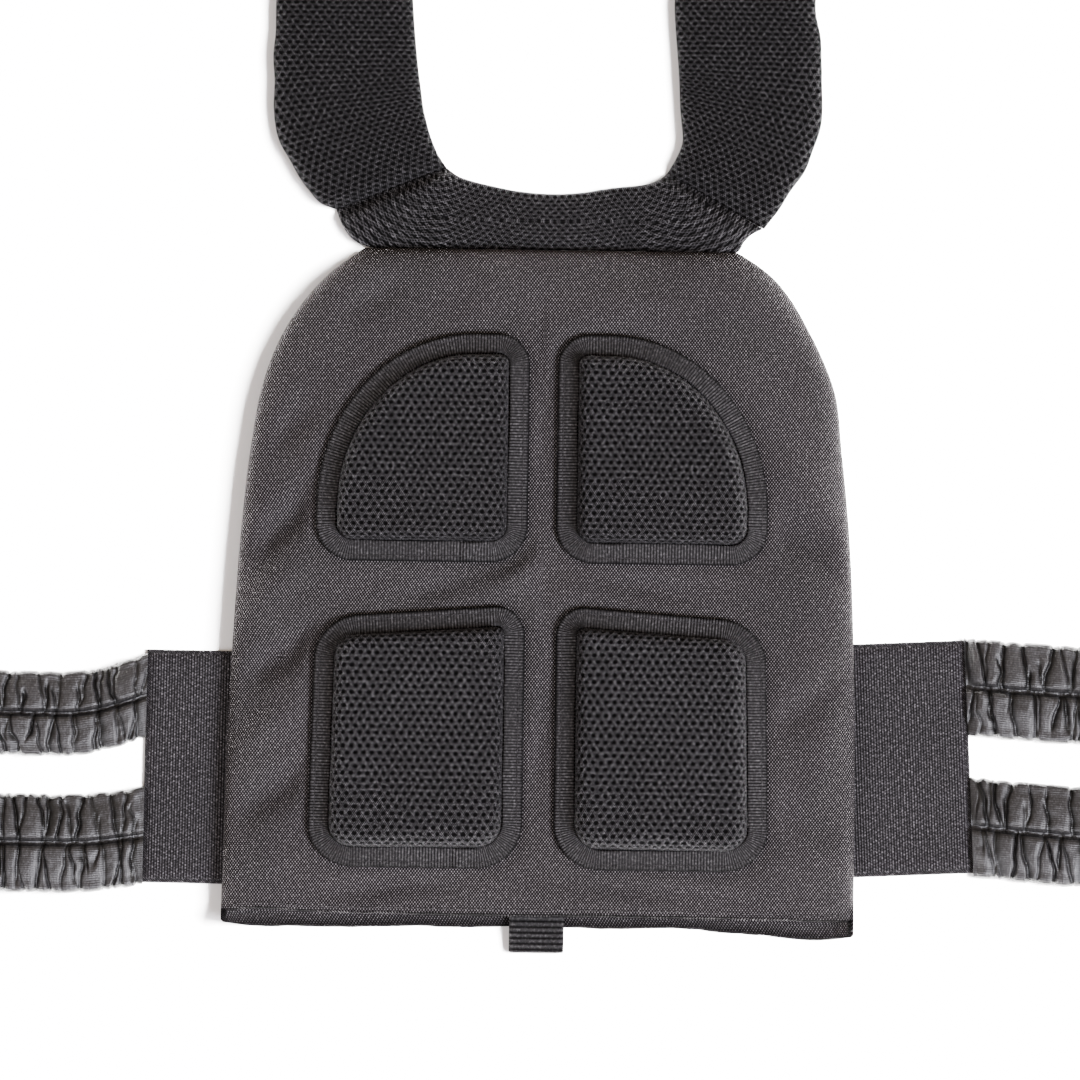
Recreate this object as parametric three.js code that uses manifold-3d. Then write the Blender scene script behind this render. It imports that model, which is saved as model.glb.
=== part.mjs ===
// A weighted vest, laid open and flat on its outer side, with the side that faces the body up.
// Lengths are in millimetres. X runs to the right, Y from the back panel's hem to the neck, Z is up.
import * as THREE from 'three';
import Module from 'manifold-3d';

const wasm = await Module();
wasm.setup();

// Clearances and cloth
const seamGap = 0.3;
const clothWall = 2;

// Panels: two equal pockets, each open at its hem
const panelWidth = 293.2;
const panelHeight = 309.8;
const panelThickness = 16;
const panelRimThickness = 9;
const panelRimWidth = 28;
const panelMouthThickness = 12.5;
const panelMouthEase = 36;
const pocketSeamWidth = 4;
const lipLength = 7;
const cavityPastLip = 1;
const leastRowSpacing = 1.7;
const shoulderSpan = 280;

// Pads on the body side of the back panel
const padHeight = 11;
const upperPadBottom = 163.9;
const upperPadTop = 269.5;
const upperPadInner = 6.8;
const upperPadOuter = 104.3;
const upperPadSweepWidth = 73;
const upperPadSweepHeight = 81;
const lowerPadBottom = 22.2;
const lowerPadTop = 144;
const lowerPadInner = 7.5;
const lowerPadOuter = 106.5;
const lowerPadTopDrop = 7;
const lowerPadLean = 2.5;
const padInnerTopRadius = 14;
const upperPadBottomRadius = 17;
const lowerPadBottomRadius = 21;
const lowerPadOuterTopRadius = 20;
const padCornerSteps = 4;
const padSweepSteps = 8;
const padLeastRadius = 2.25;
const padCrownInset = 18;

// Binding tape round the foot of each pad
const bindingWidth = 9;
const bindingHeight = 3;

// Pull tabs of webbing, folded at their free end
const pullTabWidth = 25.4;
const pullTabOut = 18;
const pullTabIn = 3;
const webbingThickness = 1.5;
const pullTabFoldGap = 0.6;
const pullTabFoldSteps = 6;

// Collar: yoke and shoulder pads
const collarHalfWidth = 127.3;
const collarReach = 210;
const collarThickness = 9;

// Shoulder straps
const strapWidth = 50;
const strapThickness = 2.5;
const strapPanelInset = 4;

// Side closures: hook tab, two gathered bands and an end tab on each side
const tabHeight = 108;
const tabLength = 113;
const tabThickness = 2.4;
const endTabLength = 80;
const bandLength = 150;
const bandWidth = 43;
const narrowBandWidth = 38;
const bandThickness = 7;
const bandValleyShare = 0.62;
const bandEdgeShare = 0.3;
const bandStitchShare = 0.45;
const bandEdgeWave = 1.2;
const bandBasePull = 2;
const gatherPitch = 7.5;

const leftReveal = 36;
const leftTilt = 0.5;
const leftUpperDroop = 9.5;
const leftLowerDroop = 4.5;
const leftTabBase = 67.7;
const leftLevelLength = 40;
const rightReveal = 53;
const rightTilt = 2.9;
const rightUpperDroop = 7;
const rightLowerDroop = 8;
const rightTabBase = 74.8;
const rightLevelLength = 80;

// Outline of a panel: up is a share of its height, left and right are shares of its half width.
const panelOutline = [
  { up: 0.000, left: 0.996, right: 1.000 },
  { up: 0.120, left: 0.993, right: 1.000 },
  { up: 0.260, left: 0.986, right: 0.998 },
  { up: 0.420, left: 0.971, right: 0.990 },
  { up: 0.580, left: 0.950, right: 0.972 },
  { up: 0.700, left: 0.924, right: 0.946 },
  { up: 0.800, left: 0.886, right: 0.916 },
  { up: 0.845, left: 0.853, right: 0.878 },
  { up: 0.885, left: 0.811, right: 0.835 },
  { up: 0.933, left: 0.739, right: 0.774 },
  { up: 0.965, left: 0.674, right: 0.716 },
  { up: 0.989, left: 0.606, right: 0.647 },
  { up: 1.000, left: 0.572, right: 0.608 },
];

// Columns of a panel's grid, as shares of its half width, closer together on the rounded rim.
const panelColumns = [-1, -0.985, -0.94, -0.86, -0.4, 0, 0.4, 0.86, 0.94, 0.985, 1];

// Rows of a panel's grid across its top rim, as shares of the rim's width from the top edge, and
// across its mouth, as shares of the mouth's ease from the hem.
const rimRowShares = [0, 0.08, 0.3, 0.6, 1];
const mouthRowShares = [0, 0.35, 1];

// Section of a pad: inset is a share of the binding's width, up a share of the pad's height.
const padSection = [
  { inset: 0.00, up: 0.00 },
  { inset: 0.04, up: 0.45 },
  { inset: 0.25, up: 0.80 },
  { inset: 0.80, up: 0.97 },
];

// Section of a binding: in is a share of its width, up a share of its height against the pad.
const bindingSection = [
  { in: 0.00, up: 0.00 },
  { in: 0.00, up: 0.35 },
  { in: 0.45, up: 0.62 },
  { in: 1.00, up: 1.00 },
  { in: 1.00, up: 0.00 },
];

// Cross-section of the collar from its neck edge to its outer edge: shares of width and thickness.
const collarSection = [
  { across: 0.03, up: 0.00 },
  { across: 0.00, up: 0.40 },
  { across: 0.06, up: 0.80 },
  { across: 0.22, up: 1.00 },
  { across: 0.78, up: 1.00 },
  { across: 0.94, up: 0.80 },
  { across: 1.00, up: 0.40 },
  { across: 0.97, up: 0.00 },
];

// Stations of the collar from its middle outwards. x columns are shares of the collar's half width,
// y columns shares of its reach past the panel's top edge.
const collarLeft = [
  { neckX: 0.086, neckY: 0.129, outerX: 0.354, outerY: 0.000, high: 0.80 },
  { neckX: 0.185, neckY: 0.139, outerX: 0.639, outerY: 0.000, high: 0.85 },
  { neckX: 0.266, neckY: 0.150, outerX: 0.706, outerY: 0.018, high: 0.90 },
  { neckX: 0.324, neckY: 0.162, outerX: 0.745, outerY: 0.052, high: 0.90 },
  { neckX: 0.365, neckY: 0.180, outerX: 0.764, outerY: 0.084, high: 0.85 },
  { neckX: 0.396, neckY: 0.207, outerX: 0.829, outerY: 0.097, high: 0.95 },
  { neckX: 0.421, neckY: 0.241, outerX: 0.874, outerY: 0.131, high: 1.00 },
  { neckX: 0.439, neckY: 0.276, outerX: 0.928, outerY: 0.183, high: 1.00 },
  { neckX: 0.454, neckY: 0.313, outerX: 0.979, outerY: 0.236, high: 1.00 },
  { neckX: 0.462, neckY: 0.348, outerX: 0.999, outerY: 0.305, high: 1.00 },
  { neckX: 0.473, neckY: 0.395, outerX: 1.000, outerY: 0.380, high: 1.00 },
  { neckX: 0.496, neckY: 0.545, outerX: 0.998, outerY: 0.545, high: 1.00 },
  { neckX: 0.505, neckY: 0.760, outerX: 0.985, outerY: 0.760, high: 1.00 },
  { neckX: 0.500, neckY: 0.950, outerX: 0.930, outerY: 0.950, high: 0.85 },
  { neckX: 0.515, neckY: 1.000, outerX: 0.890, outerY: 1.000, high: 0.60 },
];
const collarRight = [
  { neckX: 0.134, neckY: 0.129, outerX: 0.354, outerY: 0.000, high: 0.80 },
  { neckX: 0.264, neckY: 0.142, outerX: 0.696, outerY: 0.000, high: 0.85 },
  { neckX: 0.376, neckY: 0.151, outerX: 0.730, outerY: 0.026, high: 0.90 },
  { neckX: 0.413, neckY: 0.161, outerX: 0.755, outerY: 0.040, high: 0.90 },
  { neckX: 0.440, neckY: 0.175, outerX: 0.794, outerY: 0.054, high: 0.85 },
  { neckX: 0.470, neckY: 0.206, outerX: 0.846, outerY: 0.091, high: 0.95 },
  { neckX: 0.493, neckY: 0.243, outerX: 0.890, outerY: 0.133, high: 1.00 },
  { neckX: 0.489, neckY: 0.285, outerX: 0.945, outerY: 0.183, high: 1.00 },
  { neckX: 0.483, neckY: 0.320, outerX: 0.970, outerY: 0.226, high: 1.00 },
  { neckX: 0.481, neckY: 0.348, outerX: 0.997, outerY: 0.275, high: 1.00 },
  { neckX: 0.475, neckY: 0.410, outerX: 1.002, outerY: 0.400, high: 1.00 },
  { neckX: 0.458, neckY: 0.545, outerX: 0.978, outerY: 0.545, high: 1.00 },
  { neckX: 0.475, neckY: 0.760, outerX: 0.975, outerY: 0.760, high: 1.00 },
  { neckX: 0.490, neckY: 0.950, outerX: 0.930, outerY: 0.950, high: 0.85 },
  { neckX: 0.515, neckY: 1.000, outerX: 0.890, outerY: 1.000, high: 0.60 },
];
const collarSeamStation = 4;

// Stations of a shoulder strap, as shares of its length.
const strapStations = [0, 0.15, 0.4, 0.75, 1];

// Cross-section of a gathered band, from its lower edge over the top to its upper edge and back.
// at is a share of its half width, up a share of the local puff.
const bandSection = [
  { at: -1.00, up: bandEdgeShare },
  { at: -0.62, up: 1.00 },
  { at: -0.16, up: 0.90 },
  { at: 0.00, up: bandStitchShare },
  { at: 0.16, up: 0.90 },
  { at: 0.62, up: 1.00 },
  { at: 1.00, up: bandEdgeShare },
];

const clothMaterial = new THREE.MeshStandardMaterial({ color: 0x4e494b, roughness: 0.9, metalness: 0 });
const meshMaterial = new THREE.MeshStandardMaterial({ color: 0x1d1c1e, roughness: 0.85, metalness: 0 });
const tapeMaterial = new THREE.MeshStandardMaterial({ color: 0x333133, roughness: 0.8, metalness: 0 });
const hookMaterial = new THREE.MeshStandardMaterial({ color: 0x2c292c, roughness: 0.75, metalness: 0 });
const bandMaterial = new THREE.MeshStandardMaterial({ color: 0x454446, roughness: 0.5, metalness: 0 });

// Value at a place in a table, worked out by straight lines between its rows.
function between(rows, key, value, place) {
  let i = 1;
  while (i < rows.length - 1 && rows[i][key] < place) {
    i += 1;
  }
  const a = rows[i - 1];
  const b = rows[i];
  const share = (place - a[key]) / (b[key] - a[key]);
  return a[value] + (b[value] - a[value]) * THREE.MathUtils.clamp(share, 0, 1);
}

// Six times the volume that a list of triangles holds, positive where they face outwards.
function signedVolume(points, triangles) {
  let sum = 0;
  for (const [a, b, c] of triangles) {
    const [p, q, r] = [points[a], points[b], points[c]];
    sum += p[0] * (q[1] * r[2] - q[2] * r[1]);
    sum += p[1] * (q[2] * r[0] - q[0] * r[2]);
    sum += p[2] * (q[0] * r[1] - q[1] * r[0]);
  }
  return sum;
}

// Closed body from its points and triangles, turned so that its faces point outwards.
function closedBody(points, triangles) {
  const turned = signedVolume(points, triangles) < 0;
  const index = turned ? triangles.map(([a, b, c]) => [a, c, b]) : triangles;
  const geometry = new THREE.BufferGeometry();
  geometry.setAttribute('position', new THREE.Float32BufferAttribute(points.flat(), 3));
  geometry.setIndex(index.flat());
  return geometry;
}

// Skin over a row of rings that have equally many points. The ends are closed by a fan round their
// middle, or the last ring is joined to the first.
function loft(rings, joined = false) {
  const size = rings[0].length;
  const points = rings.flat();
  const triangles = [];
  const last = joined ? rings.length : rings.length - 1;
  for (let i = 0; i < last; i += 1) {
    const here = i * size;
    const next = ((i + 1) % rings.length) * size;
    for (let j = 0; j < size; j += 1) {
      const k = (j + 1) % size;
      triangles.push([here + j, here + k, next + k]);
      triangles.push([here + j, next + k, next + j]);
    }
  }
  if (!joined) {
    for (const [ring, forward] of [[0, false], [rings.length - 1, true]]) {
      const centre = [0, 1, 2].map((axis) => (
        rings[ring].reduce((sum, point) => sum + point[axis], 0) / size
      ));
      points.push(centre);
      const tip = points.length - 1;
      for (let j = 0; j < size; j += 1) {
        const k = (j + 1) % size;
        const a = ring * size + j;
        const b = ring * size + k;
        triangles.push(forward ? [tip, a, b] : [tip, b, a]);
      }
    }
  }
  return closedBody(points, triangles);
}

// Solid for joining and cutting.
function toSolid(geometry) {
  const vertProperties = new Float32Array(geometry.getAttribute('position').array);
  const triVerts = new Uint32Array(geometry.getIndex().array);
  return new wasm.Manifold(new wasm.Mesh({ numProp: 3, vertProperties, triVerts }));
}

function toGeometry(solid) {
  const mesh = solid.getMesh();
  const geometry = new THREE.BufferGeometry();
  geometry.setAttribute('position', new THREE.BufferAttribute(mesh.vertProperties, 3));
  geometry.setIndex(new THREE.BufferAttribute(mesh.triVerts, 1));
  return geometry;
}

// Block between two corners.
function block(low, high) {
  const ring = (z) => [
    [low[0], low[1], z], [high[0], low[1], z], [high[0], high[1], z], [low[0], high[1], z],
  ];
  return loft([ring(low[2]), ring(high[2])]);
}

function named(name, geometry, material) {
  const mesh = new THREE.Mesh(geometry, material);
  mesh.name = name;
  return mesh;
}

// Width of a panel from its middle line to one side, at a height over its hem.
function panelHalfWidth(height, side) {
  const column = side < 0 ? 'left' : 'right';
  return between(panelOutline, 'up', column, height / panelHeight) * panelWidth / 2;
}

// Height of a panel's body side: a rounded rim at the sides and the top, and a flatter mouth.
function panelTop(x, y, half) {
  const fromRim = Math.min(half - Math.abs(x), panelHeight - y);
  const rimShare = THREE.MathUtils.clamp(1 - fromRim / panelRimWidth, 0, 1);
  const mouthShare = THREE.MathUtils.clamp(1 - y / panelMouthEase, 0, 1);
  const middle = panelThickness - (panelThickness - panelMouthThickness) * mouthShare ** 2;
  return panelRimThickness + (middle - panelRimThickness) * Math.sqrt(1 - rimShare ** 2);
}

// Pillow with a panel's outline, drawn in by an inset at its rim and its two faces.
function panelPillow(inset, faceInset, start, end) {
  const rimRows = rimRowShares.map((share) => end - panelRimWidth * share);
  const mouthRows = mouthRowShares.map((share) => panelMouthEase * share);
  const outlineRows = panelOutline.map((row) => row.up * panelHeight);
  const rows = [start, end];
  for (const y of [...rimRows, ...mouthRows, ...outlineRows].sort((a, b) => a - b)) {
    if (rows.every((other) => Math.abs(other - y) > leastRowSpacing) && y > start && y < end) {
      rows.push(y);
    }
  }
  rows.sort((a, b) => a - b);
  const rings = rows.map((y) => {
    const place = (share) => share * (panelHalfWidth(y, share) - inset);
    const top = panelColumns.map((share) => {
      const x = place(share);
      return [x, y, panelTop(x, Math.max(y, 0), panelHalfWidth(y, share)) - faceInset];
    });
    const under = [...panelColumns].reverse().map((share) => [place(share), y, faceInset]);
    return [...top, ...under];
  });
  return toSolid(loft(rings));
}

// Pocket of cloth: a hollow pillow, open at the hem, with its lower layer standing past the hem.
function panelPocket(clearBodies, wallBodies) {
  const past = lipLength + cavityPastLip;
  let cavity = panelPillow(pocketSeamWidth, clothWall, -past, panelHeight - pocketSeamWidth);
  for (const raised of wallBodies) {
    cavity = cavity.subtract(raised);
  }
  const lip = toSolid(block(
    [-panelHalfWidth(0, -1), -lipLength, 0],
    [panelHalfWidth(0, 1), pocketSeamWidth, clothWall],
  ));
  let pocket = panelPillow(0, 0, 0, panelHeight).subtract(cavity).add(lip);
  for (const clear of clearBodies) {
    pocket = pocket.subtract(clear);
  }
  return toGeometry(pocket);
}

// Corner arc: a quarter of an ellipse from one angle to the next, a quarter turn on.
function cornerArc(centreX, centreY, radiusX, radiusY, quarter, steps) {
  const points = [];
  for (let i = 0; i <= steps; i += 1) {
    const angle = (quarter + i / steps) * Math.PI / 2;
    points.push([centreX + radiusX * Math.cos(angle), centreY + radiusY * Math.sin(angle)]);
  }
  return points;
}

// Outline of a pad on the right half of the panel, drawn in by an inset.
function padOutline(pad, inset) {
  const inner = pad.inner + inset;
  const outer = pad.outer - inset;
  const bottom = pad.bottom + inset;
  const top = pad.top - inset;
  const bottomRadius = Math.max(pad.bottomRadius - inset, padLeastRadius);
  const innerRadius = Math.max(padInnerTopRadius - inset, padLeastRadius);
  const sweepX = pad.sweepX - inset;
  const sweepY = pad.sweepY - inset;
  const corners = [
    ...cornerArc(outer - sweepX, top - sweepY, sweepX, sweepY, 0, pad.sweepSteps),
    ...cornerArc(inner + innerRadius, top - innerRadius, innerRadius, innerRadius, 1, padCornerSteps),
    ...cornerArc(inner + bottomRadius, bottom + bottomRadius, bottomRadius, bottomRadius, 2,
      padCornerSteps),
    ...cornerArc(outer - bottomRadius, bottom + bottomRadius, bottomRadius, bottomRadius, 3,
      padCornerSteps),
  ];
  return corners.map(([x, y]) => {
    const out = (x - pad.inner) / (pad.outer - pad.inner);
    const up = (y - pad.bottom) / (pad.top - pad.bottom);
    return [x - pad.lean * out * up, y - pad.topDrop * out * up];
  });
}

const upperPad = {
  inner: upperPadInner,
  outer: upperPadOuter,
  bottom: upperPadBottom,
  top: upperPadTop,
  bottomRadius: upperPadBottomRadius,
  sweepX: upperPadSweepWidth,
  sweepY: upperPadSweepHeight,
  sweepSteps: padSweepSteps,
  topDrop: 0,
  lean: 0,
};

const lowerPad = {
  inner: lowerPadInner,
  outer: lowerPadOuter,
  bottom: lowerPadBottom,
  top: lowerPadTop,
  bottomRadius: lowerPadBottomRadius,
  sweepX: lowerPadOuterTopRadius,
  sweepY: lowerPadOuterTopRadius,
  sweepSteps: padCornerSteps,
  topDrop: lowerPadTopDrop,
  lean: lowerPadLean,
};

// Raised pad: rings that draw in as they rise, closed by a nearly flat top.
function padBody(pad, side) {
  const base = panelThickness + seamGap;
  const foot = bindingWidth + seamGap;
  const rings = padSection.map((row) => (
    padOutline(pad, foot + row.inset * bindingWidth).map(([x, y]) => [
      side * x, y, base + row.up * padHeight,
    ])
  ));
  const crown = padOutline(pad, foot + padCrownInset);
  rings.push(crown.map(([x, y]) => [side * x, y, base + padHeight]));
  return loft(rings);
}

// Binding tape: a band that rises from the panel to the wall of its pad.
function bindingBody(pad, side) {
  const base = panelThickness + seamGap;
  const rings = bindingSection.map((row) => (
    padOutline(pad, row.in * bindingWidth).map(([x, y]) => [
      side * x, y, base + row.up * bindingHeight,
    ])
  ));
  return loft(rings, true);
}

// Webbing folded over at its free end, lying in the mouth of the pocket on the lower layer.
function pullTabBody() {
  const half = pullTabWidth / 2;
  const inner = pullTabFoldGap / 2;
  const outer = inner + webbingThickness;
  const base = clothWall + seamGap;
  const middle = base + outer;
  const foldY = -pullTabOut + outer;
  const outline = [[pullTabIn, base]];
  for (let i = 0; i <= pullTabFoldSteps; i += 1) {
    const angle = (i / pullTabFoldSteps) * Math.PI;
    outline.push([foldY - outer * Math.sin(angle), middle - outer * Math.cos(angle)]);
  }
  outline.push([pullTabIn, middle + outer]);
  outline.push([pullTabIn, middle + inner]);
  for (let i = pullTabFoldSteps; i >= 0; i -= 1) {
    const angle = (i / pullTabFoldSteps) * Math.PI;
    outline.push([foldY - inner * Math.sin(angle), middle - inner * Math.cos(angle)]);
  }
  outline.push([pullTabIn, middle - inner]);
  const shape = new THREE.Shape(outline.map(([y, z]) => new THREE.Vector2(y, z)));
  const geometry = new THREE.ExtrudeGeometry(shape, { depth: pullTabWidth, bevelEnabled: false });
  geometry.applyMatrix4(new THREE.Matrix4().set(
    0, 0, 1, -half,
    1, 0, 0, 0,
    0, 1, 0, 0,
    0, 0, 0, 1,
  ));
  return geometry;
}

// One station of the collar as its neck point, its outer point and its thickness.
function collarStation(row, side) {
  const foot = panelHeight + seamGap;
  return {
    neck: [side * row.neckX * collarHalfWidth, foot + row.neckY * collarReach],
    outer: [side * row.outerX * collarHalfWidth, foot + row.outerY * collarReach],
    thickness: row.high * collarThickness,
  };
}

// The same station moved towards another one by a length.
function moved(station, towards, length) {
  const shift = (from, to) => {
    const [dx, dy] = [to[0] - from[0], to[1] - from[1]];
    const share = length / Math.hypot(dx, dy);
    return [from[0] + dx * share, from[1] + dy * share];
  };
  return {
    neck: shift(station.neck, towards.neck),
    outer: shift(station.outer, towards.outer),
    thickness: station.thickness,
  };
}

// Padded strip through its stations.
function strip(stations, section) {
  return loft(stations.map(({ neck, outer, thickness }) => section.map((point) => [
    neck[0] + (outer[0] - neck[0]) * point.across,
    neck[1] + (outer[1] - neck[1]) * point.across,
    point.up * thickness,
  ])));
}

function yokeBody() {
  const left = collarLeft.slice(0, collarSeamStation + 1).map((row) => collarStation(row, -1));
  const right = collarRight.slice(0, collarSeamStation + 1).map((row) => collarStation(row, 1));
  left.push(moved(left.pop(), left.at(-1), seamGap));
  right.push(moved(right.pop(), right.at(-1), seamGap));
  return strip([...left.reverse(), ...right], collarSection);
}

function shoulderPadBody(rows, side) {
  const stations = rows.slice(collarSeamStation).map((row) => collarStation(row, side));
  stations[0] = moved(stations[0], stations[1], seamGap);
  return strip(stations, collarSection);
}

// Flat strap from the end of a shoulder pad to the front panel's top edge.
function shoulderStrapBody(rows, side) {
  const padEnd = collarStation(rows.at(-1), side);
  const start = padEnd.neck[1] + seamGap;
  const middle = Math.abs(padEnd.neck[0] + padEnd.outer[0]) / 2;
  const width = Math.min(strapWidth, Math.abs(padEnd.outer[0] - padEnd.neck[0]));
  const end = panelHeight + shoulderSpan - seamGap;
  const endMiddle = panelHalfWidth(panelHeight, -side) - strapPanelInset - width / 2;
  const stations = strapStations.map((share) => {
    const ease = share * share * (3 - 2 * share);
    const x = side * (middle + (endMiddle - middle) * ease);
    const y = start + (end - start) * share;
    return {
      neck: [x - side * width / 2, y],
      outer: [x + side * width / 2, y],
      thickness: strapThickness,
    };
  });
  const flat = [{ across: 0, up: 0 }, { across: 0, up: 1 }, { across: 1, up: 1 }, { across: 1, up: 0 }];
  return strip(stations, flat);
}

// How far a band has drooped at a distance from its hook tab.
function bandDroop(droop, levelLength, distance) {
  return droop * Math.sin(Math.min(distance / levelLength, 1) * Math.PI / 2);
}

// Gathered band: its puff rises and falls once for each gather, and its edges wave with it.
function bandBody({ side, levelLength }, droop, width) {
  const gathers = Math.max(2, Math.round(bandLength / gatherPitch));
  const steps = gathers * 2;
  const rings = [];
  for (let i = 0; i <= steps; i += 1) {
    const distance = bandLength * i / steps;
    const crest = i % 2 === 0 ? 1 : bandValleyShare;
    const half = width / 2 - (i % 2 === 0 ? 0 : bandEdgeWave);
    const y = -bandDroop(droop, levelLength, distance);
    const x = side * distance;
    const puff = bandThickness * crest;
    const ring = bandSection.map((point) => [x, y + point.at * half, point.up * puff]);
    ring.push([x, y + half - bandBasePull, 0]);
    ring.push([x, y - half + bandBasePull, 0]);
    rings.push(ring);
  }
  return loft(rings);
}

const closures = [
  {
    name: 'left',
    side: -1,
    reveal: leftReveal,
    tilt: leftTilt,
    base: leftTabBase,
    levelLength: leftLevelLength,
    droops: { upper: leftUpperDroop, lower: leftLowerDroop },
    widths: { upper: narrowBandWidth, lower: bandWidth },
  },
  {
    name: 'right',
    side: 1,
    reveal: rightReveal,
    tilt: rightTilt,
    base: rightTabBase,
    levelLength: rightLevelLength,
    droops: { upper: rightUpperDroop, lower: rightLowerDroop },
    widths: { upper: bandWidth, lower: bandWidth },
  },
];

// Flat tab that runs from the panel's middle side outwards, in its closure's own frame.
function tabBlock(side, from, to, middle, grow = 0) {
  const ends = [side * (from - grow), side * (to + grow)].sort((a, b) => a - b);
  return block(
    [ends[0], middle - tabHeight / 2 - grow, -grow],
    [ends[1], middle + tabHeight / 2 + grow, tabThickness + grow],
  );
}

// Frame of a closure: at the panel's side, tilted so that its far end lies higher or lower.
function closureFrame(closure) {
  const frame = new THREE.Group();
  frame.position.set(closure.side * panelWidth / 2, closure.base, 0);
  frame.rotation.z = closure.side * THREE.MathUtils.degToRad(closure.tilt);
  frame.updateMatrix();
  return frame;
}

// Room that a closure's hook tab takes under the panel, grown by a length.
function tabRoom(closure, grow) {
  const geometry = tabBlock(closure.side, closure.reveal - tabLength, closure.reveal, 0, grow);
  geometry.applyMatrix4(closureFrame(closure).matrix);
  return toSolid(geometry);
}

// Hook tab, its two bands and the end tab of one side.
function closureGroup(closure) {
  const { name, side, reveal, droops, widths } = closure;
  const group = closureFrame(closure);
  const offset = (tabHeight - bandWidth) / 2;
  const bandStart = reveal + seamGap;
  group.add(named(`hook_tab_${name}`, tabBlock(side, reveal - tabLength, reveal, 0), hookMaterial));
  for (const [level, up] of [['upper', 1], ['lower', -1]]) {
    const body = bandBody(closure, droops[level], widths[level]);
    const band = named(`band_${name}_${level}`, body, bandMaterial);
    band.position.set(side * bandStart, up * offset, 0);
    group.add(band);
  }
  const tabStart = bandStart + bandLength + seamGap;
  const tabMiddle = -(droops.upper + droops.lower) / 2;
  const endTab = tabBlock(side, tabStart, tabStart + endTabLength, tabMiddle);
  group.add(named(`end_tab_${name}`, endTab, hookMaterial));
  return group;
}

// One panel with its pull tab. clear and wall are the solids that its underside makes room for.
function panelGroup(name, clear, wall) {
  const group = new THREE.Group();
  group.add(named(`${name}_panel`, panelPocket(clear, wall), clothMaterial));
  group.add(named(`${name}_pull_tab`, pullTabBody(), tapeMaterial));
  return group;
}

function padsGroup() {
  const group = new THREE.Group();
  for (const [level, pad] of [['upper', upperPad], ['lower', lowerPad]]) {
    for (const [sideName, side] of [['left', -1], ['right', 1]]) {
      group.add(named(`back_pad_${level}_${sideName}`, padBody(pad, side), meshMaterial));
      group.add(named(`back_binding_${level}_${sideName}`, bindingBody(pad, side), tapeMaterial));
    }
  }
  return group;
}

function collarGroup() {
  const group = new THREE.Group();
  group.add(named('yoke', yokeBody(), meshMaterial));
  for (const [name, rows, side] of [['left', collarLeft, -1], ['right', collarRight, 1]]) {
    group.add(named(`shoulder_pad_${name}`, shoulderPadBody(rows, side), meshMaterial));
    group.add(named(`shoulder_strap_${name}`, shoulderStrapBody(rows, side), tapeMaterial));
  }
  return group;
}

const vest = new THREE.Group();
const clearRooms = closures.map((closure) => tabRoom(closure, seamGap));
const wallRooms = closures.map((closure) => tabRoom(closure, seamGap + clothWall));
vest.add(panelGroup('back', clearRooms, wallRooms));
vest.add(padsGroup());
vest.add(collarGroup());
closures.forEach((closure) => vest.add(closureGroup(closure)));

const front = panelGroup('front', [], []);
front.rotation.z = Math.PI;
front.position.y = 2 * panelHeight + shoulderSpan;
vest.add(front);

// The origin is the middle of the vest's footprint, on the surface that it lies on.
vest.updateMatrixWorld(true);
const centre = new THREE.Box3().setFromObject(vest).getCenter(new THREE.Vector3());
vest.position.set(-centre.x, -centre.y, 0);

export default vest;
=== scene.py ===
"""Looks of a weighted vest that lies open and flat, with the side that faces the body up.

Every length is in metres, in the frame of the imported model: X to the right, Y from the back panel's
hem towards the neck, Z up. Each sub-assembly is a class that works out its surfaces with numpy and
dresses them. A cloth's own UV map, called cloth, holds lengths along the cloth in metres.
"""
import logging
import math
from dataclasses import dataclass, field
from enum import Enum
from typing import Any, Callable, Iterable, Sequence

import bmesh
import bpy
import numpy as np
from mathutils import Matrix, Vector


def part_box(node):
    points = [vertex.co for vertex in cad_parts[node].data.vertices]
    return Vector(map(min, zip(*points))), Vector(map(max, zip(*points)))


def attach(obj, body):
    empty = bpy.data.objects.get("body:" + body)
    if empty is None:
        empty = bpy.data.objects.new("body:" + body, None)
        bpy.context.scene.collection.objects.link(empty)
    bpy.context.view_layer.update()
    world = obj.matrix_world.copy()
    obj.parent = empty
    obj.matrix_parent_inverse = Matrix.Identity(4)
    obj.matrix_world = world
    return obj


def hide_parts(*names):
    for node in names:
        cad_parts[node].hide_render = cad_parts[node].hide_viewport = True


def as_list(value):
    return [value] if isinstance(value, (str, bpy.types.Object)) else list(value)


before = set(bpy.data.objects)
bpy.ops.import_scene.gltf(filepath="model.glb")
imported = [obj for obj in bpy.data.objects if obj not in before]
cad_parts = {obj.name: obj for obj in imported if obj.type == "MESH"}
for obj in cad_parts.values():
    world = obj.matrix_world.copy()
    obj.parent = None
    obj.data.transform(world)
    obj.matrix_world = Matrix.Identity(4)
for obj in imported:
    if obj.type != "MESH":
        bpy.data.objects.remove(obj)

Array = np.ndarray
Socket = bpy.types.NodeSocket
Material = bpy.types.Material

log = logging.getLogger("weighted_vest")

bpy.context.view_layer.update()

# Shared sizes of the vest.
CLOTH_WALL = 0.002
LIP_LENGTH = 0.007
PANEL_HALF_WIDTH = 0.1466
PANEL_HEIGHT = 0.3098
PANEL_THICKNESS = 0.016
BINDING_WIDTH = 0.009
PAD_BASE = 0.0163
COLLAR_HALF_WIDTH = 0.1273
COLLAR_REACH = 0.21
COLLAR_THICKNESS = 0.009
STITCH_SECTION = 6
MM = 0.001


class Side(Enum):
    """Left or right as seen from above, with the neck away from the viewer."""

    LEFT = -1
    RIGHT = 1

    @property
    def word(self) -> str:
        """The side's name as the nodes spell it."""
        return self.name.lower()


class Level(Enum):
    """Upper or lower piece of a pair, counted from the hem."""

    UPPER = "upper"
    LOWER = "lower"


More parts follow.
